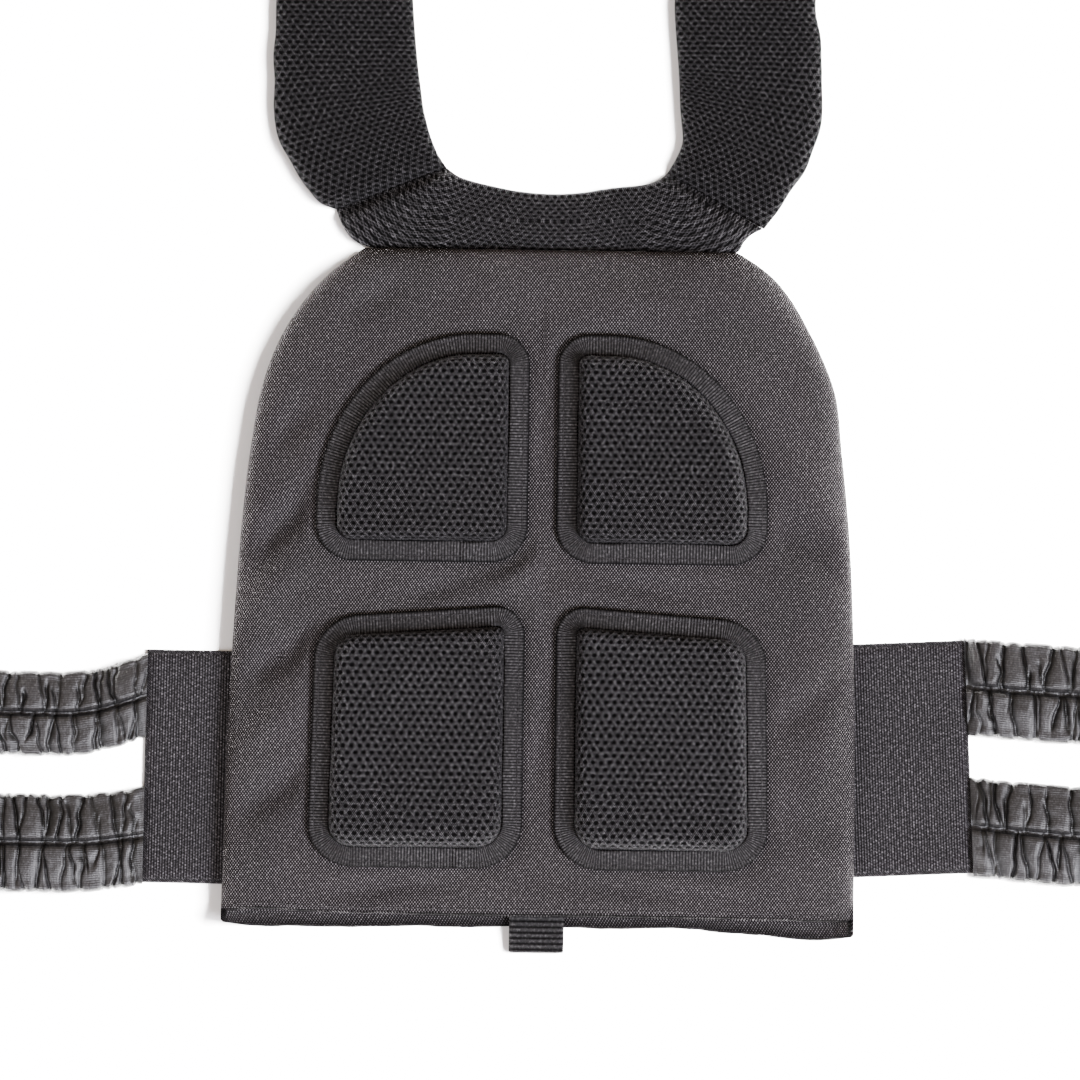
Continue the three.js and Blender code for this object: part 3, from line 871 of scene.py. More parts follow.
# Main wrinkles of the face: u and v of the middle, angle in degrees, half length, half width and height.
WRINKLES = (
    (-121, 180, 44, 30, 8, -1.9),
    (-121, 119, 33, 28, 8, -1.9),
    (-124, 56, 32, 28, 8, -1.7),
    (-128, 148, 38, 24, 9, 1.0),
    (-128, 86, 33, 24, 9, 1.0),
    (-118, 226, 50, 22, 8, -1.0),
    (4, 291, 96, 18, 10, -0.3),
    (-28, 288, 70, 18, 10, 0.5),
    (-74, 291, 35, 20, 8, -1.0),
    (44, 289, -20, 22, 9, 0.8),
    (123, 176, -35, 26, 9, -1.2),
    (124, 100, 30, 26, 9, -1.1),
    (125, 44, -30, 22, 8, -0.9),
    (-52, 148, 32, 26, 8, -0.7),
    (-12, 158, 38, 24, 8, 0.9),
    (46, 156, -22, 28, 8, -0.9),
    (2, 84, 80, 28, 6, -0.8),
    (0, 222, 84, 26, 6, -0.7),
    (-70, 12, 12, 36, 6, -0.9),
    (52, 12, -8, 40, 6, -0.8),
)


@dataclass
class PanelPocket:
    """Pocket of cloth, open at the hem, whose lower layer stands past the hem."""

    node: str
    facing: int
    columns: int
    rows: int
    rests_on_tabs: tuple[str, ...] = ()
    pad_loops: tuple[Array, ...] = ()
    rim_width: float = 0.028
    mouth_ease: float = 0.036
    mouth_drop: float = 0.0035
    seam_height: float = 0.0045
    seam_half_thickness: float = 0.0009
    under_radius: float = 0.009
    corner_roll: float = 0.013
    corner_rise: float = 0.0062
    wrinkle_height: float = 0.0016
    wrinkle_strength: float = 3.3
    stitch_line: float = 0.0022
    rim_power: float = 2.3
    top_rim_width: float = 0.020
    slack_depth: float = 0.0006
    dip_depth: float = 0.0007
    crease_depth: float = 0.0005
    groove_depth: float = 0.00035
    tab_clearance: float = 0.0004
    outline_share: float = 0.91

    def __post_init__(self) -> None:
        """Read the panel's place from its node."""
        low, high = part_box(self.node)
        tab_low, tab_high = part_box(self.node.replace("panel", "pull_tab"))
        self.centre_x = (tab_low.x + tab_high.x) / 2
        self.hem_y = low.y + LIP_LENGTH if self.facing > 0 else high.y - LIP_LENGTH

    def to_vest(self, u: Array, v: Array, z: Array) -> Array:
        """Points of the vest's frame from the panel's own: u across, v up from the hem."""
        return np.stack([self.centre_x + self.facing * u, self.hem_y + self.facing * v, z], axis=-1)

    def half_width(self, v: Array, u: Array) -> Array:
        """Panel's width from its centre line to one side, at a height above the hem."""
        share = np.clip(v / PANEL_HEIGHT, 0.0, 1.0)
        left, right = (smooth_between(share, PANEL_OUTLINE["up"], PANEL_OUTLINE[side])
                       for side in ("left", "right"))
        return PANEL_HALF_WIDTH * np.where(u < 0, left, right)

    def rim(self, distance: Array, width: float, power: float) -> Array:
        """Rounded rim: rises as a superellipse from 0 at the edge to 1 at its width."""
        share = np.clip(1.0 - distance / width, 0.0, 1.0)
        return (1.0 - share ** power) ** (1.0 / power)

    def wrinkles(self, u: Array, v: Array) -> Array:
        """Soft undulation of the cloth: the main wrinkles, long diagonal waves and a finer slackness.

        Each main wrinkle is a product of two bell curves, along its line and across it.

        Args:
            u: Distance from the centre line.
            v: Distance above the hem.

        Returns:
            Heights.
        """
        slant = 0.5 * np.sign(u + 1e-9)
        across = v + slant * u
        along = u - slant * v
        broad = smooth_noise(across, along * 0.35, 0.027, 11)
        fine = smooth_noise(across, along * 0.5, 0.011, 23)
        height = self.wrinkle_height * (0.8 * broad + 0.3 * fine)
        for middle_u, middle_v, angle, length, width, rise in WRINKLES:
            turn = math.radians(angle)
            du, dv = u - middle_u * MM, v - middle_v * MM
            far = (du * math.cos(turn) + dv * math.sin(turn)) / (length * MM)
            off = (dv * math.cos(turn) - du * math.sin(turn)) / (width * MM)
            height = height + self.wrinkle_strength * rise * MM * np.exp(-far ** 2 - off ** 2)
        return height

    def near_pads(self, u: Array, v: Array) -> tuple[Array, Array]:
        """How far a place is outside the nearest pad.

        Args:
            u: Distance from the centre line.
            v: Distance above the hem.

        Returns:
            The distance outside, 0 under a pad, and whether it is under one.
        """
        places = np.stack([u.ravel(), v.ravel()], axis=1)
        best = np.full(len(places), 1.0)
        for loop in self.pad_loops:
            index, far = nearest_on(loop, places)
            inside = ((places - loop[index]) * inward_normals(loop)[index]).sum(1) > 0
            best = np.minimum(best, np.where(inside, -far, far))
        best = best.reshape(u.shape)
        return np.maximum(best, 0.0), best < 0

    def top(self, u: Array, v: Array) -> Array:
        """Height of the body side.

        The middle height, lower towards the mouth, is multiplied by the rounded rims of the sides and
        of the top edge. Wrinkles, the centre crease and the dips round the pads are added.

        Args:
            u: Distance from the centre line.
            v: Distance above the hem.

        Returns:
            Heights.
        """
        side_gap = self.half_width(v, u) - np.abs(u)
        sides = self.rim(side_gap, self.rim_width, self.rim_power)
        end = self.rim(PANEL_HEIGHT - v, self.top_rim_width, self.rim_power)
        mouth = np.clip(1.0 - v / self.mouth_ease, 0.0, 1.0)
        middle = PANEL_THICKNESS - self.mouth_drop * mouth ** 2
        seam = self.seam_height + self.seam_half_thickness
        height = seam + (middle - seam) * sides * end
        slack = ease(side_gap / 0.016) * ease((PANEL_HEIGHT - v) / 0.03) * ease(v / 0.016)
        waves = self.wrinkles(u, v)
        crease = -self.crease_depth * np.exp(-np.abs(u + 0.001) / 0.0035) * ease((0.30 - v) / 0.06)
        if self.pad_loops:
            outside, under = self.near_pads(u, v)
            free = ease(outside / 0.010)
            dip = -self.dip_depth * np.exp(-(outside / 0.004) ** 2)
            height = height + slack * (free * waves - self.slack_depth) + dip
            height = np.where(under, np.minimum(height, PANEL_THICKNESS - self.slack_depth), height)
            crease = crease * free
        else:
            height = height + slack * (waves - self.slack_depth)
        groove = -self.groove_depth * np.exp(-((v - self.stitch_line) / 0.0006) ** 2)
        return height + crease * slack + groove

    def tab_room(self, u: Array, v: Array) -> Array:
        """How high the underside rises to let the tabs pass below it.

        Args:
            u: Distance from the centre line.
            v: Distance above the hem.

        Returns:
            Heights.
        """
        place = self.to_vest(u, v, np.zeros_like(u))
        room = np.zeros_like(u)
        for name in self.rests_on_tabs:
            low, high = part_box(name)
            out_x = np.maximum(low.x - place[..., 0], place[..., 0] - high.x)
            out_y = np.maximum(low.y - place[..., 1], place[..., 1] - high.y)
            outside = np.maximum(np.maximum(out_x, out_y), 0.0)
            room = np.maximum(room, (high.z + self.tab_clearance) * (1.0 - ease(outside / 0.006)))
        return room

    def under(self, u: Array, v: Array) -> Array:
        """Height of the underside: flat, curled up at the rim, and raised over the tabs.

        Args:
            u: Distance from the centre line.
            v: Distance above the hem.

        Returns:
            Heights.
        """
        gap = np.minimum(self.half_width(v, u) - np.abs(u), PANEL_HEIGHT - v)
        curl = 1.0 - self.rim(gap, self.under_radius, 2.0)
        height = (self.seam_height - self.seam_half_thickness) * curl
        return np.maximum(height, self.tab_room(u, v))

    def mouth_line(self, u: Array, lower: bool) -> Array:
        """Where a layer ends at the mouth, as v: the lower layer goes past the hem."""
        table = MOUTH_LOWER if lower else MOUTH_TOP
        line = MM * smooth_between(u / MM, table["u"], table["v"])
        return line + 0.0003 * smooth_noise(u, u * 0, 0.006, 5 if lower else 9)

    def layer(self, shares: Array, rows: Array, lower: bool, inset: float) -> tuple[Array, Array, Array]:
        """Grid of one layer.

        Args:
            shares: Columns, as shares of the half width.
            rows: Rows, as distances above the hem.
            lower: Whether it is the lower layer.
            inset: How far the surface lies inside the outer one.

        Returns:
            u, v and z of the grid.
        """
        v = np.broadcast_to(rows[:, None], (len(rows), len(shares))).copy()
        u = shares[None, :] * (self.half_width(v, shares[None, :]) - 1.2 * inset)
        start = self.mouth_line(u[0], lower)
        fade = 1.0 - ease(rows / 0.03)
        v = v + start[None, :] * fade[:, None]
        reach = PANEL_HEIGHT - 2 * inset
        v = np.minimum(v, reach)
        z = self.under(u, np.maximum(v, 0.0)) + inset if lower else self.top(u, v) - inset
        return u, v, z

    def corner_lift(self, u: Array, v: Array) -> Array:
        """How far the lower layer's corners curl up at the mouth."""
        edge = self.half_width(v, u)
        corner = ease((np.abs(u) - (edge - self.corner_roll)) / self.corner_roll)
        return self.corner_rise * corner * (1 - ease((v + LIP_LENGTH) / 0.016))

    def loop_grid(self, rows: Array, inset: float) -> tuple[Array, Array]:
        """Rings round the pocket: over the body side, and back along the underside.

        Args:
            rows: Rows, as distances above the hem.
            inset: How far the surface lies inside the outer one.

        Returns:
            Points and cloth coordinates.
        """
        swing = np.linspace(-math.pi / 2, math.pi / 2, self.columns)
        over = np.sin(swing) * 0.35 + np.linspace(-1, 1, self.columns) * 0.65
        back = np.linspace(1, -1, max(self.columns // 3, 24))
        u1, v1, z1 = self.layer(over, rows, False, inset)
        u2, v2, z2 = self.layer(back, rows, True, inset)
        z2 = z2 + self.corner_lift(u2, v2)
        floor = np.maximum(z1[:, [0, -1]], z2[:, [-1, 0]])
        z1[:, [0, -1]] = floor
        u, v, z = (np.concatenate(pair, axis=1) for pair in ((u1, u2), (v1, v2), (z1, z2)))
        points = self.to_vest(u, v, z)
        steps = np.linalg.norm(np.diff(points[:, :, [0, 2]], axis=1), axis=2)
        run = np.concatenate([np.zeros((len(rows), 1)), np.cumsum(steps, axis=1)], axis=1)
        middle = self.columns // 2
        return points, np.stack([run - run[:, middle:middle + 1], v], axis=-1)

    def build(self, wardrobe: Wardrobe) -> None:
        """Make the pocket and its edge stitching.

        Args:
            wardrobe: The finishes.
        """
        near = np.linspace(0.0, 0.006, 13)
        body = np.linspace(0.006, PANEL_HEIGHT - 0.012, self.rows)[1:]
        end = PANEL_HEIGHT - 0.012 * np.cos(np.linspace(0, math.pi / 2, 12))[1:]
        outer, outer_cloth = self.loop_grid(np.concatenate([near, body, end]), 0.0)
        inner_rows = np.concatenate([np.linspace(0, 0.03, 7),
                                     np.linspace(0.03, PANEL_HEIGHT - 0.004, 24)[1:]])
        inner, inner_cloth = self.loop_grid(inner_rows, CLOTH_WALL)
        fold = (outer[0] + inner[0]) / 2
        fold[:, 1] -= self.facing * 0.0009
        points = np.concatenate([inner[::-1], fold[None], outer])
        cloth = np.concatenate([inner_cloth[::-1], outer_cloth[:1], outer_cloth])
        # Painted shade on the fold of the mouth's edge and the rows beside it.
        mouth_edge_shade = np.zeros(points.shape[:2])
        mouth_edge_shade[len(inner) - 1:len(inner) + 2] = 1.0
        skin = Skin.grid(points, cloth, mouth_edge_shade, columns_closed=True)
        area = 2 * self.outline_share * 2 * PANEL_HALF_WIDTH * PANEL_HEIGHT
        cut = Cut(2 * PANEL_HALF_WIDTH, 2 * PANEL_HEIGHT, area=area)
        place_piece(self.node + "_cloth", skin, wardrobe.cloth, Slot.PANEL, [self.node], cut, fill=True)
        self.build_stitching(wardrobe)

    def build_stitching(self, wardrobe: Wardrobe) -> None:
        """Sew the edge stitching along the hem.

        Args:
            wardrobe: The finishes.
        """
        half = PANEL_HALF_WIDTH - 0.007
        count = int(2 * half / HEM_SEAM.pitch)
        u = np.linspace(-half, half, count)
        u = u + 0.0002 * smooth_noise(u, u, 0.004, 31)
        v = np.full(count, self.stitch_line) + self.mouth_line(u, False) * 0.9
        z = self.top(u, v) + 0.00012
        centres = self.to_vest(u, v, z)
        tilt = 0.16 + 0.05 * smooth_noise(u, u, 0.005, 37)
        runs = np.stack([np.cos(tilt), self.facing * np.sin(tilt), np.zeros(count)], axis=1)
        skin = stitches(centres, runs, HEM_SEAM)
        place_piece(self.node + "_hem_stitching", skin, wardrobe.thread, Slot.PANEL)


# Pads and their binding


@dataclass
class PadShape:
    """Sizes of a pad on the right half of the panel, from the centre line and the hem."""

    inner: float
    outer: float
    bottom: float
    top: float
    bottom_radius: float
    inner_radius: float
    sweep: tuple[float, float]
    top_drop: float
    lean: float

    def outline(self, inset: float = 0.0, count: int = 720) -> Array:
        """Outline drawn in by an inset: four quarter ellipses joined by straight stretches.

        The outer side leans by a share of the way up and out, and so does the top edge's drop.

        Args:
            inset: How far it is drawn in.
            count: How many evenly spaced points it has.

        Returns:
            The points, counterclockwise.
        """
        inner, outer = self.inner + inset, self.outer - inset
        bottom, top = self.bottom + inset, self.top - inset
        low = max(self.bottom_radius - inset, 0.002)
        high = max(self.inner_radius - inset, 0.002)
        sx, sy = self.sweep[0] - inset, self.sweep[1] - inset
        corners = [(outer - sx, top - sy, sx, sy), (inner + high, top - high, high, high),
                   (inner + low, bottom + low, low, low), (outer - low, bottom + low, low, low)]
        parts = []
        for quarter, (x, y, rx, ry) in enumerate(corners):
            angle = (quarter + np.linspace(0, 1, 48)) * math.pi / 2
            parts.append(np.stack([x + rx * np.cos(angle), y + ry * np.sin(angle)], axis=1))
        loop = np.concatenate(parts)
        out = (loop[:, 0] - self.inner) / (self.outer - self.inner)
        up = (loop[:, 1] - self.bottom) / (self.top - self.bottom)
        loop = loop - np.stack([self.lean * out * up, self.top_drop * out * up], axis=1)
        return respaced(loop, count, closed=True)


PAD_SHAPES = {
    Level.UPPER: PadShape(inner=0.0068, outer=0.1043, bottom=0.1639, top=0.2695, bottom_radius=0.017,
                          inner_radius=0.014, sweep=(0.073, 0.081), top_drop=0.0, lean=0.0),
    Level.LOWER: PadShape(inner=0.0075, outer=0.1065, bottom=0.0222, top=0.144, bottom_radius=0.021,
                          inner_radius=0.014, sweep=(0.020, 0.020), top_drop=0.007, lean=0.0025),
}


@dataclass(frozen=True)
class MeshLattice:
    """Staggered rows of holes in a knitted mesh."""

    pitch: float
    row: float
    hole: tuple[float, float]
    tone: float = 0.8
    depth: float = 0.0010
    strand: float = 0.00022

    def drawn(self, x: Array, y: Array, seed: int) -> tuple[Array, Array]:
        """The cloth's own coordinates, a little uneven as the knit is."""
        return (x + self.strand * smooth_noise(x, y, 0.006, seed),
                y + self.strand * smooth_noise(x, y, 0.006, seed + 1))

    def relief(self, x: Array, y: Array) -> Array:
        """Depth of the holes and the swelling of the strands between them.

        A place belongs to the hole of its own row; odd rows are shifted by half a pitch. The hole is
        an ellipse whose wall eases from the strand down to its floor.

        Args:
            x: Cloth coordinate across.
            y: Cloth coordinate along.

        Returns:
            The height, up to 0.
        """
        row = np.round(y / self.row)
        shift = np.where(row.astype(int) % 2 == 0, 0.0, self.pitch / 2)
        dx = x - shift - self.pitch * np.round((x - shift) / self.pitch)
        dy = y - row * self.row
        out = np.sqrt((dx / self.hole[0]) ** 2 + (dy / self.hole[1]) ** 2)
        sunk = 1.0 - ease((out - 0.5) / 0.7)
        swell = self.strand * np.cos(2 * math.pi * dy / self.row) * (1 - sunk)
        return -self.depth * sunk - self.strand + swell


LATTICES = {
    "upper": MeshLattice(0.00370, 0.00296, (0.00126, 0.00118), tone=0.92),
    "lower": MeshLattice(0.00385, 0.00310, (0.00131, 0.00124), tone=1.0),
    "yoke": MeshLattice(0.00340, 0.00174, (0.00118, 0.00066), tone=0.85, depth=0.0006, strand=0.00012),
    "shoulder": MeshLattice(0.00370, 0.00232, (0.00143, 0.00094), tone=0.66, depth=0.0009),
}


@dataclass
class BodyPad:
    """Raised cushion of spacer mesh with a binding tape round its foot."""

    level: Level
    side: Side
    panel: PanelPocket
    seed: int
    height: float = 0.0102
    wall_radius: float = 0.0075
    wall_power: float = 2.9
    crown: float = 0.0009
    crown_reach: float = 0.02
    wall_fade: float = 0.002
    columns_a_hole: int = 7
    rows_a_hole: int = 5
    broad_softness: float = 0.0005
    fine_softness: float = 0.00022
    joint_at: float = 0.03
    joint_length: float = 0.012
    joint_slant: float = 0.009
    joint_thickness: float = 0.0007
    rib_pitch: float = 0.00142
    rib_height: float = 0.00022
    groove_share: float = 0.27

    def __post_init__(self) -> None:
        """Work out its names and shape."""
        self.shape = PAD_SHAPES[self.level]
        self.tail = f"{self.level.value}_{self.side.word}"

    def place(self, x: Array, y: Array, z: Array) -> Array:
        """Points of the vest's frame from the pad's own right-hand frame."""
        return self.panel.to_vest(self.side.value * x, y, z)

    def wall_curve(self) -> tuple[Array, Array, Array]:
        """Section of the pad from its foot to its top, as a quarter of a superellipse.

        Returns:
            Lengths along the wall, insets and heights.
        """
        angle = np.linspace(0, math.pi / 2, 90)
        power = 2.0 / self.wall_power
        inset = self.wall_radius * (1 - np.cos(angle) ** power)
        height = self.height * np.sin(angle) ** power
        return along_lengths(np.stack([inset, height], axis=1)), inset, height

    def cushion(self) -> Skin:
        """Mesh cloth drawn over the pad.

        The flat cloth is a grid that follows the rows of holes. A place whose distance to the pad's
        foot, measured along the cloth, is less than the wall's length lies on the wall, and any other
        on the top. The holes sink along the wall's or the top's normal.

        Returns:
            The skin, open at its foot.
        """
        foot = self.shape.outline(BINDING_WIDTH + 0.0002)
        normals = inward_normals(foot)
        lengths, insets, heights = self.wall_curve()
        extra = lengths[-1] - self.wall_radius
        lattice = LATTICES[self.level.value]
        low, high = foot.min(0) - extra - 0.001, foot.max(0) + extra + 0.001
        x, y = np.meshgrid(np.arange(low[0], high[0], lattice.pitch / self.columns_a_hole),
                           np.arange(low[1], high[1], lattice.row / self.rows_a_hole))
        flat = np.stack([x.ravel(), y.ravel()], axis=1)
        index, far = nearest_on(foot, flat)
        inside = ((flat - foot[index]) * normals[index]).sum(1)
        distance = np.where(inside > 0, far, -far)
        reach = distance + extra
        held = np.clip(reach, 0.0, None)
        on_wall = held < lengths[-1]
        inset = np.interp(held, lengths, insets)
        height = np.interp(held, lengths, heights)
        spread = foot[index] + normals[index] * inset[:, None]
        place = np.where(on_wall[:, None], spread, flat)
        lift = self.crown * (1 - np.exp(-np.maximum(distance, 0) / self.crown_reach))
        soft = self.broad_softness * smooth_noise(flat[:, 0], flat[:, 1], 0.021, self.seed)
        soft += self.fine_softness * smooth_noise(flat[:, 0], flat[:, 1], 0.008, self.seed + 5)
        height = height + (lift + soft) * ease(held / lengths[-1])
        cloth_x, cloth_y = lattice.drawn(flat[:, 0], flat[:, 1], 40 + self.seed)
        relief = lattice.relief(cloth_x, cloth_y)
        fade = ease(held / self.wall_fade)
        slope = np.interp(held, lengths, np.gradient(heights, lengths))
        slope = np.where(on_wall, np.clip(slope, 0, 1), 0.0)
        level = np.sqrt(1 - slope ** 2)
        place = place - normals[index] * (relief * slope * fade)[:, None]
        height = height + relief * level * fade
        points = self.place(place[:, 0], place[:, 1], PAD_BASE + height)
        rows, columns = x.shape
        cloth = np.stack([cloth_x, cloth_y], axis=1)
        # The fade also marks where the material puts painted shade in the holes.
        grid = Skin.grid(points.reshape(rows, columns, 3), cloth.reshape(rows, columns, 2),
                         fade.reshape(rows, columns))
        kept = grid.quads[(reach[grid.quads] > 0).any(axis=1)]
        used, quads = np.unique(kept, return_inverse=True)
        return Skin(grid.points[used], quads.reshape(-1, 4), grid.cloth[used], grid.shade[used])

    def binding_profile(self) -> tuple[Array, Array, Array]:
        """Section of the binding: flat on the panel, a stitched groove, and a rise to the pad.

        Returns:
            Insets as shares of the tape's width, heights, and how strongly the ribs show.
        """
        share = np.array([0.0, -0.02, 0.02, 0.10, 0.20, 0.27, 0.34, 0.46, 0.60, 0.75, 0.88, 0.97, 1.01, 1.0])
        height = np.array([0.0, 0.45, 0.95, 1.30, 1.40, 1.10, 1.45, 1.65, 1.85, 2.05, 2.25, 2.30, 2.0, 0.0])
        rib = np.array([0.0, 0.5, 1.0, 1.0, 1.0, 0.6, 1.0, 1.0, 1.0, 1.0, 1.0, 0.7, 0.0, 0.0])
        return share, height * MM, rib

    def binding(self) -> Skin:
        """Ribbed tape swept round the pad's outline, with a rib for each wave of its height.

        Returns:
            The skin, closed both ways.
        """
        length = along_lengths(self.shape.outline())[-1]
        ribs = round(length / self.rib_pitch)
        loop = self.shape.outline(0.0, ribs * 4)
        normals = inward_normals(loop)
        share, height, strength = self.binding_profile()
        run = np.linspace(0, length, len(loop), endpoint=False)
        wave = np.cos(np.arange(len(loop)) * math.pi / 2)
        sag = 0.00035 * smooth_noise(run, run * 0 + self.seed, 0.013, self.seed + 9)
        wide = 1.0 + 0.05 * smooth_noise(run, run * 0 + self.seed, 0.017, self.seed + 10)
        inset = share[None, :] * BINDING_WIDTH * wide[:, None]
        place = loop[:, None, :] + normals[:, None, :] * inset[..., None]
        z = height[None, :] * (1 + sag[:, None] / 0.0035)
        z = z + self.rib_height * wave[:, None] * strength[None, :]
        z = np.maximum(z, 0.0)
        points = self.place(place[..., 0], place[..., 1], PAD_BASE + z)
        along = (np.arange(len(loop)) * (self.rib_pitch / 4))[:, None]
        cloth = np.stack(np.broadcast_arrays(along, inset), axis=-1)
        return Skin.grid(points, cloth, rows_closed=True, columns_closed=True)

    def joint(self) -> Skin:
        """Overlap of the tape's two ends: a short layer on top, its free end folded on a slant.

        Returns:
            The skin, closed by its rims.
        """
        loop = self.shape.outline(0.0, 2000)
        normals = inward_normals(loop)
        lengths = along_lengths(np.vstack([loop, loop[:1]]))
        bottom = loop[:, 1] < self.shape.bottom + 0.002
        middle = (self.shape.inner + self.shape.outer) / 2 - self.joint_at
        start = lengths[:-1][bottom][np.abs(loop[bottom, 0] - middle).argmin()]
        share, height, strength = self.binding_profile()
        share, height, strength = share[2:12], height[2:12], strength[2:12]
        run = np.linspace(0, 1, 60)
        slant = self.joint_slant * (1 - share)
        along = start + run[:, None] * self.joint_length + slant[None, :] * (1 - run[:, None])
        index = np.clip(np.searchsorted(lengths[:-1], along), 0, len(loop) - 1)
        inset = share * BINDING_WIDTH
        place = loop[index] + normals[index] * inset[None, :, None]
        arch = np.sin(np.clip(run, 0, 1) * math.pi) ** 0.4
        ribs = 0.00018 * np.cos(along / self.rib_pitch * 2 * math.pi) * strength
        lift = self.joint_thickness * arch[:, None] + ribs
        top = self.place(place[..., 0], place[..., 1], PAD_BASE + height[None, :] + lift)
        sunk = np.broadcast_to(height * 0.8, along.shape)
        under = self.place(place[..., 0], place[..., 1], PAD_BASE + sunk)
        points = np.concatenate([top, under[:, ::-1]], axis=1)
        cloth = np.stack([along, np.broadcast_to(inset, along.shape)], axis=-1)
        return Skin.grid(points, np.concatenate([cloth, cloth[:, ::-1]], axis=1), columns_closed=True)

    def stitch_rows(self) -> Skin:
        """Stitches in the binding's groove.

        Returns:
            Their skin.
        """
        length = along_lengths(self.shape.outline())[-1]
        loop = self.shape.outline(0.0, int(length / BINDING_SEAM.pitch))
        place = loop + inward_normals(loop) * (self.groove_share * BINDING_WIDTH)
        centres = self.place(place[:, 0], place[:, 1], np.full(len(place), PAD_BASE + 0.0014))
        runs = unit(np.roll(centres, -1, axis=0) - np.roll(centres, 1, axis=0))
        return stitches(centres, runs, BINDING_SEAM)

    def build(self, wardrobe: Wardrobe) -> None:
        """Make the cushion, its binding and the stitching.

        Args:
            wardrobe: The finishes.
        """
        name = f"back_pad_{self.tail}"
        cushion = place_piece(name + "_mesh", self.cushion(), wardrobe.meshes[self.level.value], Slot.MESH,
                              [name], fill=True)
        name = f"back_binding_{self.tail}"
        panel = self.panel.node + "_cloth"
        length = along_lengths(self.shape.outline())[-1]
        tape, slot = wardrobe.grosgrain, Slot.BINDING
        tape_cut = Cut(0.0115, length, rests_on=(panel,))
        place_piece(name + "_tape", self.binding(), tape, slot, [name], tape_cut)
        joint_cut = Cut(0.0100, 0.0110, "folded", (name + "_tape",))
        place_piece(name + "_joint", self.joint(), tape, slot, cut=joint_cut, fill=True)
        place_piece(name + "_stitching", self.stitch_rows(), wardrobe.thread, slot)


# Collar

# Stations of the collar from its middle outwards, as in the solids: x as shares of the collar's half
# width, y as shares of its reach past the panel, high as a share of its thickness.
COLLAR_COLUMNS = ("neck_x", "neck_y", "outer_x", "outer_y", "high")
COLLAR_LEFT = (
    (0.086, 0.129, 0.354, 0.000, 0.80),
    (0.185, 0.139, 0.639, 0.000, 0.85),
    (0.266, 0.150, 0.706, 0.018, 0.90),
    (0.324, 0.162, 0.745, 0.052, 0.90),
    (0.365, 0.180, 0.764, 0.084, 0.85),
    (0.396, 0.207, 0.829, 0.097, 0.95),
    (0.421, 0.241, 0.874, 0.131, 1.00),
    (0.439, 0.276, 0.928, 0.183, 1.00),
    (0.454, 0.313, 0.979, 0.236, 1.00),
    (0.462, 0.348, 0.999, 0.305, 1.00),
    (0.473, 0.395, 1.000, 0.380, 1.00),
    (0.496, 0.545, 0.998, 0.545, 1.00),
    (0.505, 0.760, 0.985, 0.760, 1.00),
    (0.500, 0.950, 0.930, 0.950, 0.85),
    (0.515, 1.000, 0.890, 1.000, 0.60),
)
COLLAR_RIGHT = (
    (0.134, 0.129, 0.354, 0.000, 0.80),
    (0.264, 0.142, 0.696, 0.000, 0.85),
    (0.376, 0.151, 0.730, 0.026, 0.90),
    (0.413, 0.161, 0.755, 0.040, 0.90),
    (0.440, 0.175, 0.794, 0.054, 0.85),
    (0.470, 0.206, 0.846, 0.091, 0.95),
    (0.493, 0.243, 0.890, 0.133, 1.00),
    (0.489, 0.285, 0.945, 0.183, 1.00),
    (0.483, 0.320, 0.970, 0.226, 1.00),
    (0.481, 0.348, 0.997, 0.275, 1.00),
    (0.475, 0.410, 1.002, 0.400, 1.00),
    (0.458, 0.545, 0.978, 0.545, 1.00),
    (0.475, 0.760, 0.975, 0.760, 1.00),
    (0.490, 0.950, 0.930, 0.950, 0.85),
    (0.515, 1.000, 0.890, 1.000, 0.60),
)
COLLAR_SEAM = 4


